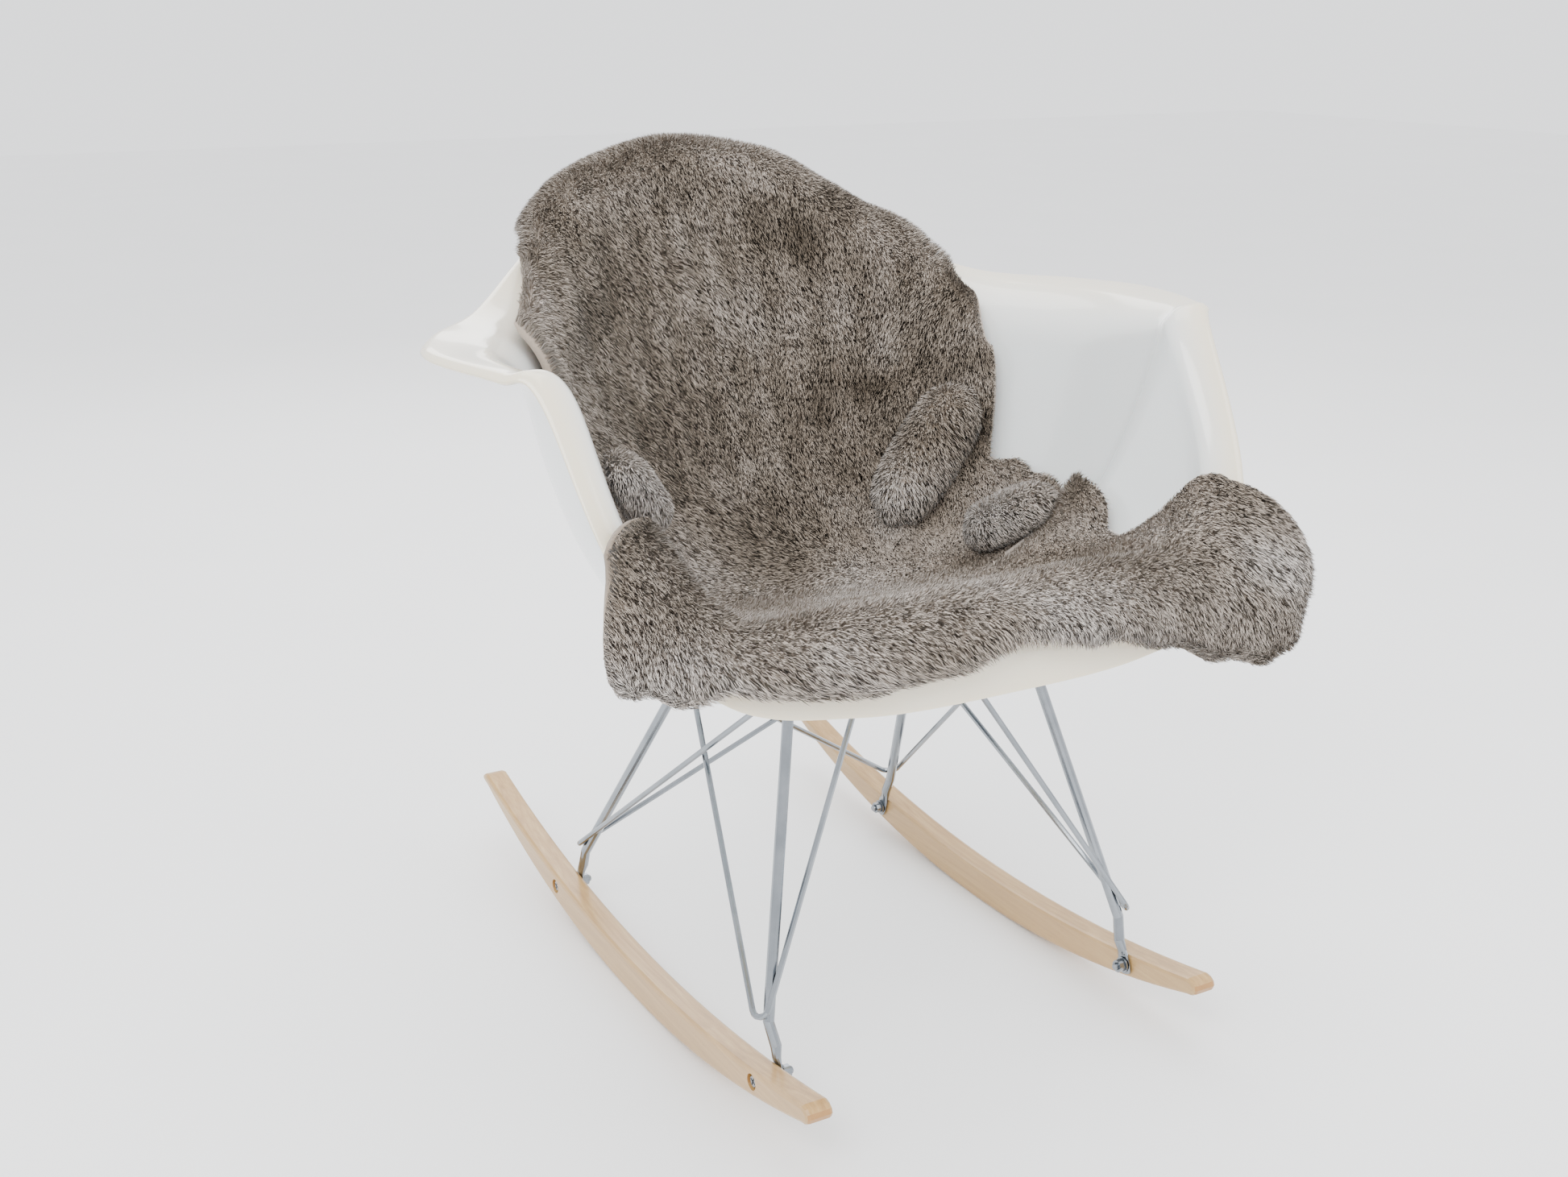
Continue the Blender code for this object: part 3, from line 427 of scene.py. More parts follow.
SEAT_FALL = (FRONT_ROD[1] - REAR_ROD[1]) / (REAR_ROD[0] - FRONT_ROD[0])
print("the seat falls %.1f degrees to the rear" % math.degrees(math.atan(SEAT_FALL)))


# %% Section helpers
def curve_through(rows, place, mirror=None):
    """Catmull-Rom value at a place from 0 to BACK; mirror flips what lies past an end."""
    i = min(int(place), BACK - 1)
    t = place - i
    flip = 1.0 if mirror is None else mirror
    before = rows[i - 1] if i > 0 else rows[1] * flip
    after = rows[i + 2] if i + 2 <= BACK else rows[BACK - 1] * flip
    a, b = rows[i], rows[i + 1]
    return 0.5 * (2 * a + (b - before) * t + (2 * before - 5 * a + 4 * b - after) * t * t
                  + (3 * a - before - 3 * b + after) * t ** 3)


def rising(values, start, span):
    """0 up to start, then evenly up to 1 after the span."""
    return np.clip((values - start) / span, 0, 1)


def falling(values, end, span):
    """1 up to a span before the end, then evenly down to 0 at the end."""
    return np.clip((end - values) / span, 0, 1)


def pan_height(y):
    """Height of the seat's sloping pan, which stands a fixed way off the two rods."""
    return (REAR_ROD[1] + SEAT_OVER_ROD * math.hypot(1.0, SEAT_FALL)
            + (REAR_ROD[0] - y) * SEAT_FALL)


def arc_steps(start, radius, slope_from, slope_to, count):
    """Points along an outward-turning arc after its start, as (out, up)."""
    slopes = [slope_from + (slope_to - slope_from) * i / count for i in range(1, count + 1)]
    return [(start[0] + radius * (math.sin(slope_from) - math.sin(slope)),
             start[1] + radius * (math.cos(slope) - math.cos(slope_from))) for slope in slopes]


def wall_section(place, wall_rows, flare_rows, roll_rows):
    """The middle of the wall, from near the seat's centre to the end of the lip."""
    end = curve_through(RIM, place, np.array((-1.0, 1.0, 1.0)))
    form = curve_through(RIM_FORM, place)
    slope, flare_end, roll_end = (math.radians(form[k]) for k in (0, 2, 5))
    centre = np.array((0.0, PAN_MIDDLE_Y))
    out = end[:2] - centre
    reach = float(np.hypot(*out))
    out = out / reach
    lip = arc_steps((0.0, 0.0), form[1], slope, flare_end, flare_rows)
    flat_end = (lip[-1][0] + form[3] * math.cos(flare_end),
                lip[-1][1] + form[3] * math.sin(flare_end))
    lip += arc_steps(flat_end, form[4], flare_end, roll_end, roll_rows)
    wall_reach = reach - lip[-1][0]
    wall_top = end[2] - lip[-1][1]
    rise = wall_top - pan_height(centre[1] + out[1] * wall_reach)
    lean = rise / math.tan(slope)
    base = wall_reach - lean
    points = []
    for turn in np.linspace(CENTRE_HOLE, 1.0, wall_rows + 1) * math.pi / 2:
        share = 1 - math.cos(turn)
        spot = centre + out * (base * math.sin(turn) ** (2 / form[6]) + lean * share)
        pan = pan_height(spot[1])
        points.append((spot[0], spot[1], pan + (wall_top - pan) * share))
    for over, lift in lip:
        spot = centre + out * (wall_reach + over)
        points.append((spot[0], spot[1], wall_top + lift))
    return np.array(points)


def wall_grid(places, wall_rows, flare_rows, roll_rows):
    """Sections all the way round: the second half is the mirror image of the first."""
    grid = []
    for place in places:
        half = wall_section(min(place, 2 * BACK - place), wall_rows, flare_rows, roll_rows)
        if place > BACK:
            half = half * np.array((-1.0, 1.0, 1.0))
        grid.append(half)
    return np.array(grid)


def grid_normals(grid):
    """Unit normals that point into the bucket."""
    around = np.roll(grid, -1, axis=0) - np.roll(grid, 1, axis=0)
    normal = np.cross(np.gradient(grid, axis=1), around)
    normal /= np.linalg.norm(normal, axis=2, keepdims=True) + 1e-12
    return normal if normal[:, 0, 2].mean() > 0 else -normal


# %% [markdown]
# ## Meshes from arrays
#
# The bucket and the hide have tens of thousands of points, and the fur far more. Blender
# takes whole arrays at once, which is many times quicker than adding points one by one.

# %% Mesh helpers
def mesh_piece(name, points, faces, finish, attributes):
    """An object from an array of points and an array of faces that all have the same size."""
    mesh = bpy.data.meshes.new(name)
    count, sides = faces.shape
    mesh.vertices.add(len(points))
    mesh.vertices.foreach_set("co", np.ascontiguousarray(points, np.float32).ravel())
    mesh.loops.add(count * sides)
    mesh.loops.foreach_set("vertex_index", np.ascontiguousarray(faces, np.int32).ravel())
    mesh.polygons.add(count)
    mesh.polygons.foreach_set("loop_start", np.arange(count, dtype=np.int32) * sides)
    mesh.polygons.foreach_set("use_smooth", np.full(count, True))
    mesh.update(calc_edges=True)
    for key, values in attributes.items():
        layer = mesh.attributes.new(key, 'FLOAT', 'POINT')
        layer.data.foreach_set("value", np.ascontiguousarray(values, np.float32))
    mesh.materials.append(finish)
    piece = bpy.data.objects.new(name, mesh)
    bpy.context.scene.collection.objects.link(piece)
    return piece


def bowl_faces(stations, rows):
    """Quads of a closed thick bowl: inner and outer layers, a rim and two small centres."""
    size = stations * rows
    i = np.arange(stations)[:, None]
    k = (i + 1) % stations
    j = np.arange(rows - 1)[None, :]
    inner = np.stack([i * rows + j, i * rows + j + 1, k * rows + j + 1, k * rows + j], axis=2)
    inner = inner.reshape(-1, 4)
    i, k = i[:, 0], k[:, 0]
    edge = rows - 1
    rim = np.stack([i * rows + edge, size + i * rows + edge, size + k * rows + edge,
                    k * rows + edge], axis=1)
    pair = np.arange(0, stations, 2)
    ahead = (pair + 1) % stations
    beyond = (pair + 2) % stations
    middle = np.stack([np.full(len(pair), 2 * size), pair * rows, ahead * rows,
                       beyond * rows], axis=1)
    low_middle = np.stack([np.full(len(pair), 2 * size + 1), size + beyond * rows,
                           size + ahead * rows, size + pair * rows], axis=1)
    return np.vstack([inner, size + inner[:, ::-1], rim, middle, low_middle])


# %% [markdown]
# ### The moulded bucket
#
# Two layers of the same grid, half a wall apart, make one closed shell of even thickness.
# The share of ivory rises from the top of the wall to the rolled edge, and over the front
# of the pan.

# %% Bucket
SHELL_STATIONS, WALL_ROWS, FLARE_ROWS, ROLL_ROWS = 264, 44, 12, 10
shell_places = np.arange(SHELL_STATIONS) * 2.0 * BACK / SHELL_STATIONS
shell_grid = wall_grid(shell_places, WALL_ROWS, FLARE_ROWS, ROLL_ROWS)
shell_normals = grid_normals(shell_grid)
half_wall = shell_normals * (SHELL_THICK / 2)
shell_middle = np.array((0.0, PAN_MIDDLE_Y, pan_height(PAN_MIDDLE_Y)))
seat_up = shell_normals[:, 0].mean(axis=0)
seat_up /= np.linalg.norm(seat_up)
shell_points = np.vstack([
    (shell_grid + half_wall).reshape(-1, 3), (shell_grid - half_wall).reshape(-1, 3),
    shell_middle + seat_up * SHELL_THICK / 2, shell_middle - seat_up * SHELL_THICK / 2])
FRONT_IVORY = 0.8
row_share = rising(np.arange(shell_grid.shape[1]), WALL_ROWS - 1, FLARE_ROWS + 3)
front_share = falling(shell_grid[..., 1], -0.20, 0.05) * FRONT_IVORY
ivory = np.maximum(np.broadcast_to(row_share, front_share.shape), front_share)
ivory = np.concatenate([ivory.ravel(), ivory.ravel(), (0.0, 0.0)])
shell = mesh_piece("moulded_bucket", shell_points,
                   bowl_faces(SHELL_STATIONS, shell_grid.shape[1]), shell_finish,
                   {"lip_share": ivory})
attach(shell, "chair")
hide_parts("seat_shell")
print("bucket faces:", len(shell.data.polygons))

# %% [markdown]
# ## The hide
#
# The hide lies on the bucket's inside, goes over the lip where it is long enough, and falls.
# Each row of HIDE_FORM starts with a place round the chair. Its other numbers say how far the
# hide reaches past the top of the wall, at which slope in degrees it leaves the lip, and the
# radius that it falls over with. Place 0 is the middle of the front, 11 that of the back.

# %% Where the hide's edge runs
HIDE_FORM = [(0.0, 0.066, -68, 0.034), (0.6, 0.082, -58, 0.042), (1.0, 0.100, -46, 0.050),
             (1.5, 0.130, -15, 0.052), (2.0, 0.160, 2, 0.060), (2.3, 0.173, 5, 0.066),
             (2.5, 0.150, 6, 0.066), (2.72, 0.040, 12, 0.056), (2.95, -0.080, 30, 0.040),
             (3.5, -0.115, 20, 0.030), (4.3, -0.140, 10, 0.030), (5.0, -0.145, 10, 0.030),
             (5.8, -0.120, 10, 0.030), (6.4, -0.105, 10, 0.030), (6.9, -0.110, 10, 0.030),
             (7.3, -0.010, 10, 0.030), (7.7, 0.035, 12, 0.030), (8.3, 0.060, 14, 0.032),
             (9.0, 0.090, 20, 0.032), (10.0, 0.105, 30, 0.030), (11.0, 0.110, 30, 0.028),
             (12.0, 0.100, 32, 0.030), (12.6, 0.075, 28, 0.034), (13.1, 0.058, 24, 0.034),
             (13.8, 0.058, 16, 0.034), (14.6, 0.058, 10, 0.030), (15.1, -0.020, 10, 0.030),
             (15.6, -0.120, 10, 0.030), (16.4, -0.130, 10, 0.030), (17.4, -0.130, 10, 0.030),
             (18.3, -0.110, 20, 0.030), (18.75, -0.070, 24, 0.040), (19.03, 0.085, 26, 0.056),
             (19.3, 0.150, 24, 0.064), (19.6, 0.122, 10, 0.060), (20.2, 0.084, -26, 0.052),
             (21.0, 0.088, -54, 0.048), (21.5, 0.082, -62, 0.040), (22.0, 0.066, -68, 0.034)]
HIDE_STATIONS, HIDE_ROWS = 360, 64
HIDE_WALL_ROWS, HIDE_FLARE_ROWS, HIDE_ROLL_ROWS = 36, 8, 2
HIDE_GAP, HIDE_THICK = 0.0064, 0.0165
HIDE_MIDDLE = SHELL_THICK / 2 + HIDE_GAP + HIDE_THICK / 2
OVER_ROWS = 16                  # steps in each of the two arcs over the lip
FALL_SLOPE, TAIL = math.radians(-88), 0.08
CROWDING = 6.0                  # how much closer sections stand where the edge runs steeply


def hide_form(place):
    """Reach, leaving slope and fall radius at a place round the chair."""
    i = max(k for k in range(len(HIDE_FORM) - 1) if HIDE_FORM[k][0] <= place)
    t = (place - HIDE_FORM[i][0]) / (HIDE_FORM[i + 1][0] - HIDE_FORM[i][0])
    ease = t * t * (3 - 2 * t)
    return [a + (b - a) * ease for a, b in zip(HIDE_FORM[i][1:], HIDE_FORM[i + 1][1:])]


def hide_section(lifted_wall, form, reach, leave, fall_radius):
    """The hide's middle at one place: up the wall, over the lip and straight down."""
    slope, leave = math.radians(form[0]), math.radians(leave)
    top = lifted_wall[-1]
    out = top[:2] - np.array((0.0, PAN_MIDDLE_Y))
    out = out / np.hypot(*out)
    over = arc_steps((0.0, 0.0), form[1] + HIDE_MIDDLE, slope, leave, OVER_ROWS)
    over += arc_steps(over[-1], fall_radius, leave, FALL_SLOPE, OVER_ROWS)
    over.append((over[-1][0], over[-1][1] - TAIL))
    past = [(top[0] + out[0] * a, top[1] + out[1] * a, top[2] + b) for a, b in over]
    path = np.vstack([lifted_wall, np.array(past)])
    lengths = np.append(0.0, np.cumsum(np.linalg.norm(np.diff(path, axis=0), axis=1)))
    wanted = np.linspace(0.0, lengths[len(lifted_wall) - 1] + reach, HIDE_ROWS)
    return np.stack([np.interp(wanted, lengths, path[:, axis]) for axis in range(3)], axis=1)


fine_places = np.linspace(0.0, 2.0 * BACK, HIDE_STATIONS * 8, endpoint=False)
climb = np.abs(np.gradient([hide_form(place)[0] for place in fine_places], fine_places))
crowding = np.append(0.0, np.cumsum(1.0 + CROWDING * climb))
hide_places = np.interp(np.arange(HIDE_STATIONS) * crowding[-1] / HIDE_STATIONS, crowding,
                        np.append(fine_places, 2.0 * BACK))
wall = wall_grid(hide_places, HIDE_WALL_ROWS, HIDE_FLARE_ROWS, HIDE_ROLL_ROWS)
lifted = (wall + grid_normals(wall) * HIDE_MIDDLE)[:, :HIDE_WALL_ROWS + 1]
hide_grid = np.array([
    hide_section(rows, curve_through(RIM_FORM, min(place, 2 * BACK - place)), *hide_form(place))
    for place, rows in zip(hide_places, lifted)])
hide_normals = grid_normals(hide_grid)
print("hide grid:", hide_grid.shape)

# %% [markdown]
# ### Waves, folds and dimples
#
# A hide never lies dead flat: it has slow waves, soft ribs down the back, and a few folds
# where it bunches. Sums of smooth waves with seeded directions give the waves, and each fold
# is a short line whose neighbours are pressed in.

# %% Relief of the hide
WAVES = 10


def ripples(points, wavelength, seed):
    """Smooth seeded unevenness of about one wavelength, from -1 to 1 most of the time."""
    dice = np.random.default_rng(seed)
    value = np.zeros(len(points))
    for _ in range(WAVES):
        heading = dice.normal(size=3)
        heading *= 2 * math.pi / wavelength / np.linalg.norm(heading) * dice.uniform(0.7, 1.3)
        value += np.sin(points @ heading + dice.uniform(0, 2 * math.pi))
    return value / math.sqrt(WAVES / 2.0) / 1.4


# Each fold's two ends, its half width and its depth as a share of FOLD_DEEP.
FOLDS = [((0.118, 0.118, 0.462), (0.162, 0.078, 0.492), 0.010, 1.0),
         ((0.143, 0.007, 0.360), (0.132, 0.020, 0.366), 0.014, 0.8),
         ((-0.037, -0.201, 0.385), (-0.030, -0.195, 0.384), 0.016, 0.7),
         ((0.030, 0.207, 0.637), (0.075, 0.200, 0.628), 0.008, 0.5),
         ((0.054, 0.195, 0.596), (0.095, 0.178, 0.582), 0.008, 0.5)]
WAVE_HIGH, RIB_HIGH, FOLD_DEEP = 0.0012, 0.0009, 0.0045
RIB_SWAY, RIB_APART = 0.006, 0.034


def fold_depth(points):
    """How deep in a fold or dimple each point lies, from 0 to 1."""
    depth = np.zeros(len(points))
    for start, end, width, share in FOLDS:
        start, end = np.array(start), np.array(end)
        along = end - start
        t = np.clip((points - start) @ along / (along @ along), 0, 1)
        away = np.linalg.norm(points - start - t[:, None] * along, axis=1)
        depth = np.maximum(depth, share * np.exp(-(away / width) ** 2))
    return depth


def back_ribs(points):
    """Soft upright ribs on the inside of the back."""
    on_back = rising(points[:, 1], 0.06, 0.06) * falling(points[:, 2], 0.66, 0.04)
    sway = RIB_SWAY * ripples(points, 0.20, 31)
    return on_back * np.sin(2 * math.pi * (points[:, 0] + sway) / RIB_APART)


flat_points = hide_grid.reshape(-1, 3)
relief = (WAVE_HIGH * ripples(flat_points, 0.11, 5) + RIB_HIGH * back_ribs(flat_points)
          - FOLD_DEEP * fold_depth(flat_points)).reshape(hide_grid.shape[:2])
relief[:, 0] = relief[:, 0].mean()
hide_grid = hide_grid + hide_normals * relief[..., None]
hide_normals = grid_normals(hide_grid)
print("relief from %.1f to %.1f mm" % (relief.min() * 1000, relief.max() * 1000))

# %% [markdown]
# ### The skin
#
# The skin is one closed sheet, 10 mm thick and thinned to a rounded edge. It keeps to the
# lower part of the space that its solid holds, and leaves the rest of it to the pile. Patch
# tones and their painted shade are stored on it as well, so that what shows between the
# tufts matches them.

# %% Skin
SKIN_LOW, SKIN_HIGH = -0.0070, 0.0030
EDGE_ROUND, EDGE_THINNEST = 0.006, 0.2
edge_gap = np.linalg.norm(np.diff(hide_grid, axis=1), axis=2)
from_edge = np.concatenate([np.cumsum(edge_gap[:, ::-1], axis=1)[:, ::-1],
                            np.zeros((HIDE_STATIONS, 1))], axis=1)
rounding = np.sqrt(1 - np.clip(1 - from_edge / EDGE_ROUND, 0, 1) ** 2)
mid_level = (SKIN_LOW + SKIN_HIGH) / 2
half_skin = (SKIN_HIGH - SKIN_LOW) / 2 * np.maximum(rounding, EDGE_THINNEST)
skin_top = hide_grid + hide_normals * (mid_level + half_skin)[..., None]
skin_under = hide_grid + hide_normals * (mid_level - half_skin)[..., None]
hide_centre = hide_grid[:, 0].mean(axis=0)
hide_up = hide_normals[:, 0].mean(axis=0)
hide_up /= np.linalg.norm(hide_up)

# Start, middle and tip of each paw's curve, and how far off it the painted shade is deepest.
PAW_SPINES = [((0.180, 0.034, 0.474), (0.143, 0.046, 0.420), (0.100, 0.042, 0.362), 0.031),
              ((0.186, -0.086, 0.402), (0.170, -0.040, 0.376), (0.140, -0.022, 0.360), 0.023),
              ((-0.172, 0.030, 0.452), (-0.148, 0.046, 0.415), (-0.126, 0.044, 0.382), 0.024)]
SHADE_WIDTH = 0.012
TONE_MIDDLE, TONE_WIDE, TONE_FINE = 0.44, 0.15, 0.08
RIB_PAINTED_LIGHT_AND_SHADE, FOLD_PAINTED_SHADE = 0.08, 0.35
SEAT_PALER, BACK_DARKER = 0.24, 0.12


def paw_shade(points):
    """Painted shade on the hide's pile round each paw, from 0 to 1."""
    shade = np.zeros(len(points))
    for start, middle, tip, half_width in PAW_SPINES:
        start, middle, tip = np.array(start), np.array(middle), np.array(tip)
        away = np.full(len(points), 1.0)
        for t in np.linspace(0.0, 1.0, 9):
            spot = start * (1 - t) ** 2 + middle * 2 * t * (1 - t) + tip * t * t
            away = np.minimum(away, np.linalg.norm(points - spot, axis=1))
        shade = np.maximum(shade, np.exp(-((away - half_width) / SHADE_WIDTH) ** 2))
    return shade


def tone_and_painted_shade_at(points):
    """Pile tone from 0 to 1: patches, paler on the seat than on the back, painted shade in
    folds and painted light and shade on the ribs.
    """
    patches = (TONE_MIDDLE + TONE_WIDE * ripples(points, 0.16, 11)
               + TONE_FINE * ripples(points, 0.055, 12))
    # Painted shade in the folds, and painted light and shade on the ribs: lighter on their
    # crests, darker in their hollows.
    patches += RIB_PAINTED_LIGHT_AND_SHADE * back_ribs(points) - FOLD_PAINTED_SHADE * fold_depth(points)
    seat = falling(points[:, 2], 0.43, 0.04) * falling(points[:, 1], 0.10, 0.05)
    back = rising(points[:, 1], 0.05, 0.08) * falling(points[:, 2], 0.64, 0.05)
    patches += SEAT_PALER * seat - BACK_DARKER * back
    return np.clip(patches, 0.02, 0.98)


skin_points = np.vstack([skin_top.reshape(-1, 3), skin_under.reshape(-1, 3),
                         hide_centre + hide_up * SKIN_HIGH, hide_centre + hide_up * SKIN_LOW])
skin = mesh_piece("hide_skin", skin_points, bowl_faces(HIDE_STATIONS, HIDE_ROWS), skin_finish,
                  {"fur_tone": tone_and_painted_shade_at(skin_points)})
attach(skin, "throw")
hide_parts("throw_hide")


# %% [markdown]
# ## The pile
#
# Particle hair would be quick to comb, but it doesn't survive as a mesh, so every tuft here
# is a real tapering blade of three triangles. Roots are spread evenly over the skin, each
# blade starts along the surface's normal, then leans the way the pile is stroked: down the
# back, and forward over the seat. Two sizes of unevenness gather the blades into slight
# locks, as on a brushed hide. Each blade borrows the surface's normal, so the fur shades
# softly.

# %% Spreading the roots
def spread_roots(corners, normals, areas, count, seed, fan_from=None):
    """Seeded even roots on quads, and on the fan of triangles that starts at fan_from."""
    dice = np.random.default_rng(seed)
    quads = dice.choice(len(areas), size=count, p=areas / areas.sum())
    u, v = dice.uniform(size=(2, count, 1))
    if fan_from is not None:
        u = np.where(quads[:, None] >= fan_from, np.sqrt(u), u)
    weights = ((1 - u) * (1 - v), u * (1 - v), u * v, (1 - u) * v)
    place = sum(w * corners[quads, k] for k, w in enumerate(weights))
    facing = sum(w * normals[quads, k] for k, w in enumerate(weights))
    return place, facing / np.linalg.norm(facing, axis=1, keepdims=True), quads


def grid_quads(grid):
    """The four corners of every quad in a closed ring of sections."""
    ahead = np.roll(grid, -1, axis=0)
    quads = np.stack([grid[:, :-1], grid[:, 1:], ahead[:, 1:], ahead[:, :-1]], axis=2)
    return quads.reshape(-1, 4, 3)


def quad_areas(corners):
    """Area of each quad from its two diagonals."""
    return 0.5 * np.linalg.norm(np.cross(corners[:, 2] - corners[:, 0],
                                         corners[:, 3] - corners[:, 1]), axis=1)


# %% Growing the blades
SUNK = 0.0012                   # how deep a blade's foot stands in the skin
STAND, STROKED, OWN_LEAN = 0.78, 0.58, 0.07
FINE_LOCK, WIDE_LOCK = 0.03, 0.07
CURL, CURL_LOCK, CURL_DOWN = 0.46, 0.04, 0.24
LOWER_SHARE, UPPER_SHARE = 0.5, 0.55
SOFT_LEAN, SOFT_OWN = 0.18, 0.06
BLADE_POINTS = 5


def comb(points, normals):
    """The way the pile is stroked, along the surface."""
    stroke = np.zeros_like(points)
    over_seat = falling(points[:, 1], 0.06, 0.12)
    stroke[:, 1] = -0.45 - 0.75 * over_seat
    stroke[:, 2] = -1.0 + 0.75 * over_seat
    stroke[:, 0] = 0.25 * ripples(points, 0.14, 21)
    stroke -= normals * (stroke * normals).sum(axis=1, keepdims=True)
    return stroke / (np.linalg.norm(stroke, axis=1, keepdims=True) + 0.15)


def lock_lean(points, wavelength, seed):
    """Sideways lean that gathers neighbours into locks."""
    return np.stack([ripples(points, wavelength, seed + k) for k in range(3)], axis=1)


def grow(name, roots, normals, length, width, seed, lift):
    """One piece of fur: a blade of three triangles on every root; lift shifts its tone, paler
    above zero and painted shade below zero.
    """
    dice = np.random.default_rng(seed)
    count = len(roots)
    own = dice.normal(size=(count, 3))
    size = (length * dice.uniform(0.88, 1.06, size=count))[:, None]
    stroke = comb(roots, normals)
    fine_lean = lock_lean(roots, 0.009, 41)
    wide_lean = lock_lean(roots, 0.040, 51)
    heading = (STAND * normals + STROKED * stroke + FINE_LOCK * fine_lean
               + WIDE_LOCK * wide_lean + OWN_LEAN * own)
    heading /= np.linalg.norm(heading, axis=1, keepdims=True)
    curl = CURL * stroke + CURL_LOCK * fine_lean + OWN_LEAN * own - CURL_DOWN * normals
    mid = roots + heading * size * LOWER_SHARE
    bent = (heading + curl) / np.linalg.norm(heading + curl, axis=1, keepdims=True)
    tip = mid + bent * size * UPPER_SHARE
    across = np.cross(heading, dice.normal(size=(count, 3)))
    across /= np.linalg.norm(across, axis=1, keepdims=True)
    across *= (width * dice.uniform(0.7, 1.2, size=count))[:, None]
    sunk = roots - normals * SUNK
    points = np.stack([sunk - across * 0.5, sunk + across * 0.5, mid - across * 0.42,
                       mid + across * 0.42, tip], axis=1).reshape(-1, 3)
    first = np.arange(count)[:, None] * BLADE_POINTS
    blade = np.array([[0, 1, 3], [0, 3, 2], [2, 3, 4]])
    faces = (first[:, :, None] + blade[None]).reshape(-1, 3)
    tone = np.clip(tone_and_painted_shade_at(roots) + lift + 0.035 * dice.normal(size=count), 0, 1)
    tips = np.tile((0.0, 0.0, 0.55, 0.55, 1.0), count)
    fur = mesh_piece(name, points, faces, fur_finish,
                     {"fur_tone": np.repeat(tone, BLADE_POINTS), "tip_share": tips})
    leaning = heading - normals * (heading * normals).sum(1, keepdims=True)
    soft = normals + SOFT_LEAN * leaning
    soft += SOFT_OWN * own
    soft /= np.linalg.norm(soft, axis=1, keepdims=True)
    soft = np.repeat(soft, BLADE_POINTS, axis=0)
    fur.data.normals_split_custom_set_from_vertices(soft.tolist())
    layout = fur.data.uv_layers.new(name="OFBake")
    side = int(math.ceil(math.sqrt(count)))
    cell = np.stack([np.arange(count) % side, np.arange(count) // side], axis=1) / side
    corner = np.array(((0.1, 0.1), (0.9, 0.1), (0.1, 0.6), (0.9, 0.6), (0.5, 0.95))) / side
    spots = (cell[:, None, :] + corner[None]).reshape(-1, 2)
    layout.data.foreach_set("uv", spots[faces.ravel()].astype(np.float32).ravel())
    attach(fur, "throw")
    return fur


# %% [markdown]
# ### Fur on the hide
#
# The pile is shorter on the seat, where it is sat flat, and longest at the edge. It is grown
# in several pieces, split by place round the chair, because one very large mesh is slow.

# %% Fur on the hide
TUFTS = 450000
SECTORS = 7
PILE, SEAT_SHORTER, FOLD_SHORTER, EDGE_LONGER = 0.0082, 0.0022, 0.003, 0.0035
HIDE_BLADE = 0.00075
FRINGE_BAND, FRINGE_OUT = 0.018, 0.9
PAINTED_PAW_SHADE = 0.30


def with_fan(grid, centre):
    """The grid's quads, then the triangles from its first row in to a centre."""
    middle = np.broadcast_to(centre, (len(grid), 3))
    fan = np.stack([middle, grid[:, 0], np.roll(grid[:, 0], -1, axis=0), middle], axis=1)
    return np.vstack([grid_quads(grid), fan])


skin_quads = with_fan(skin_top, hide_centre + hide_up * SKIN_HIGH)
normal_quads = with_fan(hide_normals, hide_up)
roots, root_normals, home = spread_roots(skin_quads, normal_quads, quad_areas(skin_quads),
                                         TUFTS, 7, len(skin_quads) - HIDE_STATIONS)
edge_distance = np.append(from_edge[:, :-1].reshape(-1), np.ones(HIDE_STATIONS))
edge_near = np.clip(1 - edge_distance[home] / FRINGE_BAND, 0, 1)[:, None]
outward = with_fan(hide_grid, hide_centre)[home]
outward = outward[:, 1] - outward[:, 0]
outward /= np.linalg.norm(outward, axis=1, keepdims=True)
fringe_normals = root_normals + FRINGE_OUT * edge_near * outward
fringe_normals /= np.linalg.norm(fringe_normals, axis=1, keepdims=True)
on_seat = (falling(roots[:, 2], 0.42, 0.05) * falling(roots[:, 1], 0.08, 0.06)
           * rising(roots[:, 1], -0.24, 0.05))
pile = PILE - SEAT_SHORTER * on_seat - FOLD_SHORTER * fold_depth(roots)
pile = pile + EDGE_LONGER * edge_near[:, 0]
order = np.argsort(home, kind="stable")
# Round each paw the hide's pile gets painted shade, passed to grow as a negative lift.
for sector, chosen in enumerate(np.array_split(order, SECTORS)):
    grow("hide_fur_%d" % (sector + 1), roots[chosen], fringe_normals[chosen],
                         pile[chosen], HIDE_BLADE, 100 + sector,
                         -PAINTED_PAW_SHADE * paw_shade(roots[chosen]))
print("tufts:", TUFTS, "in", SECTORS, "pieces")

# %% [markdown]
# ### Paws
#
# Three short flaps of the hide, its paws, hang on the inside of the bucket. Each is a soft
# pad: its solid is copied, remeshed, smoothed and shrunk a little, and fur is grown on it.

# %% Paws
def mesh_arrays(piece):
    """Points and normals of a mesh, as arrays."""
    mesh = piece.data
    points = np.empty(len(mesh.vertices) * 3)
    normals = np.empty(len(mesh.vertices) * 3)
    mesh.vertices.foreach_get("co", points)
    mesh.vertices.foreach_get("normal", normals)
    return points.reshape(-1, 3), normals.reshape(-1, 3)


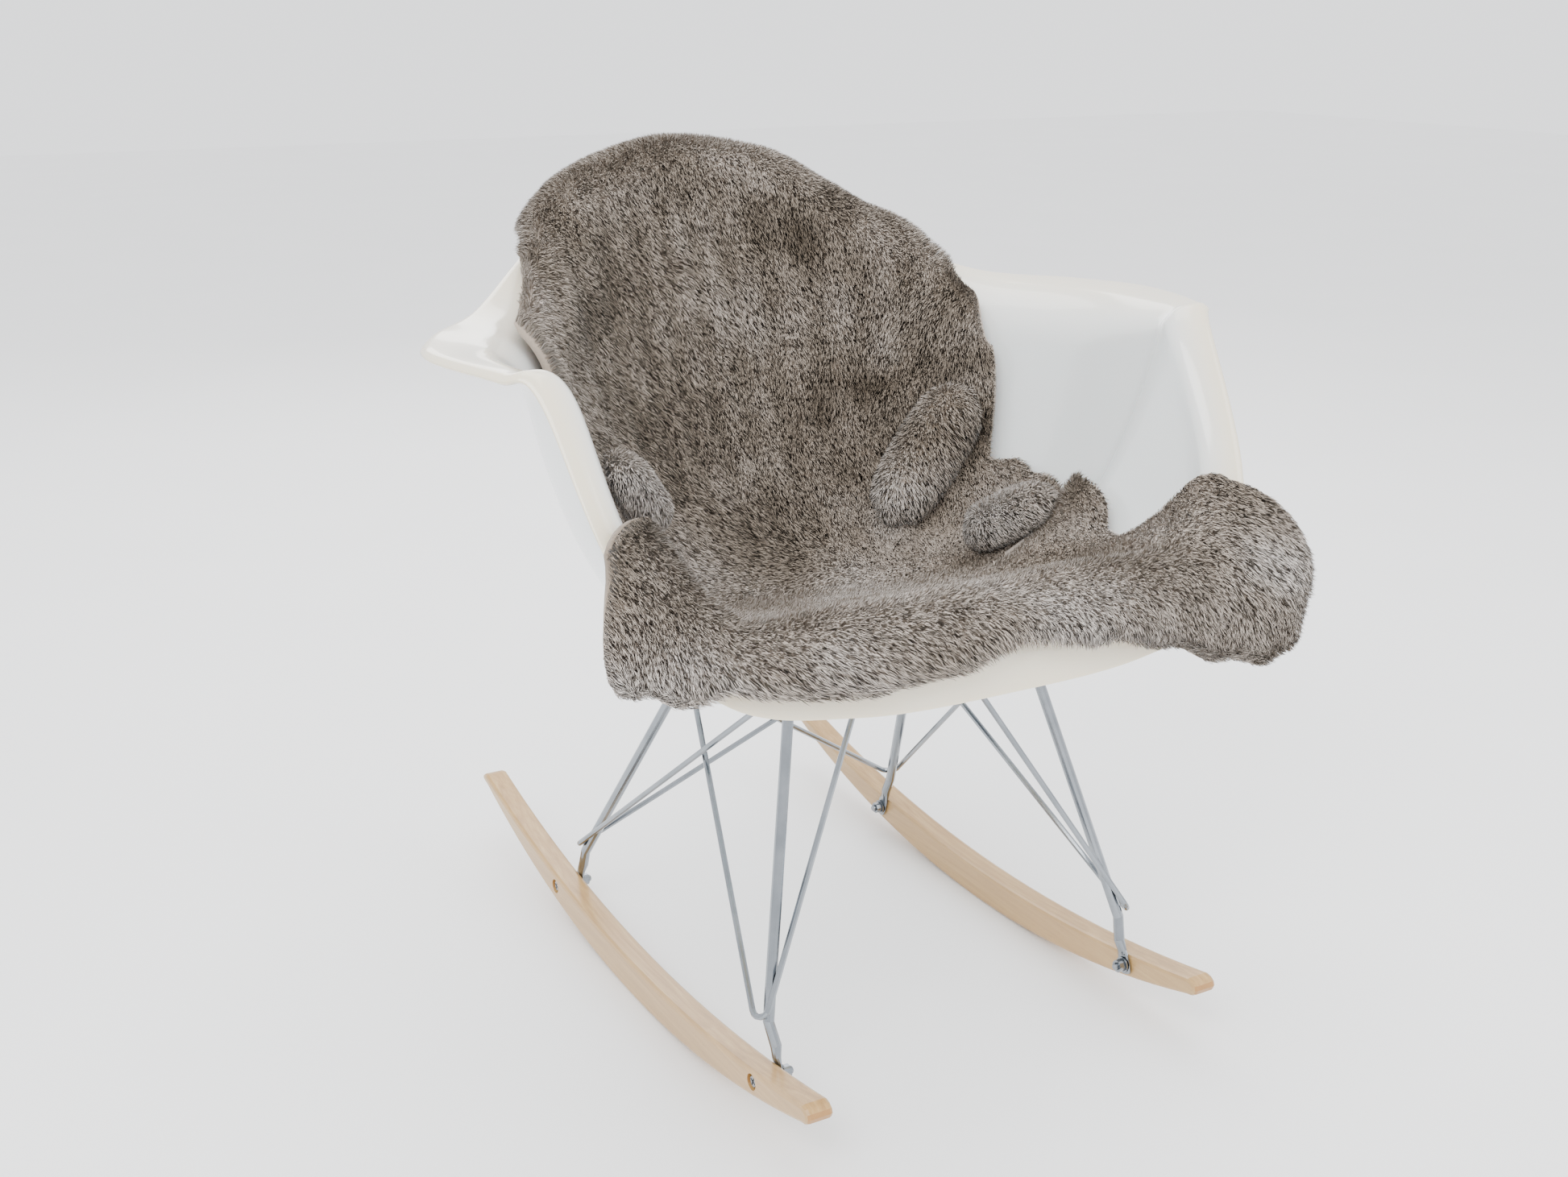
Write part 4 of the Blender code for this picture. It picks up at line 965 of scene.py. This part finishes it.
def soften(piece, voxel, inset):
    """Voxel remesh, a few rounds of smoothing, and an inset, all applied."""
    remesh = piece.modifiers.new("even_faces", 'REMESH')
    remesh.mode = 'VOXEL'
    remesh.voxel_size = voxel
    smooth = piece.modifiers.new("softened", 'SMOOTH')
    smooth.iterations = 6
    shrink = piece.modifiers.new("inset", 'DISPLACE')
    shrink.strength = -inset
    shrink.mid_level = 0.0
    shaped = piece.evaluated_get(bpy.context.evaluated_depsgraph_get())
    mesh = bpy.data.meshes.new_from_object(shaped)
    piece.modifiers.clear()
    old = piece.data
    piece.data = mesh
    bpy.data.meshes.remove(old)
    mesh.polygons.foreach_set("use_smooth", np.full(len(mesh.polygons), True))
    mesh.update()


PAW_TUFTS = 16000
PAW_VOXEL, PAW_INSET = 0.003, 0.002
PAW_PILE, PAW_BLADE, PAW_PALER = 0.0080, 0.0008, 0.16
paws = []
for paw_number, paw_node in enumerate(("throw_paw_right_upper", "throw_paw_right_lower",
                                       "throw_paw_left")):
    paw_name = paw_node.replace("throw_", "")
    paw = bpy.data.objects.new(paw_name + "_pad", frame["nodes"][paw_node].data.copy())
    bpy.context.scene.collection.objects.link(paw)
    soften(paw, PAW_VOXEL, PAW_INSET)
    paw_points, paw_normals = mesh_arrays(paw)
    paw_tone = paw.data.attributes.new("fur_tone", 'FLOAT', 'POINT')
    paw_tone.data.foreach_set("value", tone_and_painted_shade_at(paw_points).astype(np.float32))
    paw.data.materials.clear()
    paw.data.materials.append(skin_finish)
    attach(paw, "throw")
    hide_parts(paw_node)
    corner_sets = np.array([[p.vertices[0], p.vertices[1], p.vertices[2], p.vertices[-1]]
                            for p in paw.data.polygons])
    paw_roots, paw_facing, _ = spread_roots(paw_points[corner_sets], paw_normals[corner_sets],
                                            quad_areas(paw_points[corner_sets]), PAW_TUFTS,
                                            80 + paw_number)
    grow(paw_name + "_fur", paw_roots, paw_facing, np.full(PAW_TUFTS, PAW_PILE),
         PAW_BLADE, 90 + paw_number, PAW_PALER)
    paws.append(paw)
print("paws:", len(paws))

# %% [markdown]
# ## The hide as a sheet
#
# The hide is a sheet that was cut flat before it was draped.

# %% [markdown]
# ## Finish
#
# The last step measures the box of the finished pieces and prints it beside the box of
# the solids.

# %% Finish
visual_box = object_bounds()


def plain(value):
    """Vectors and nested tuples as plain lists of numbers."""
    if isinstance(value, dict):
        return {key: plain(item) for key, item in value.items()}
    if hasattr(value, "__len__") and not isinstance(value, str):
        return [plain(item) for item in value]
    return float(value)


{"cad": plain(cad_box), "visual": plain(visual_box)}
print("solids:", plain(cad_box), "pieces:", plain(visual_box))
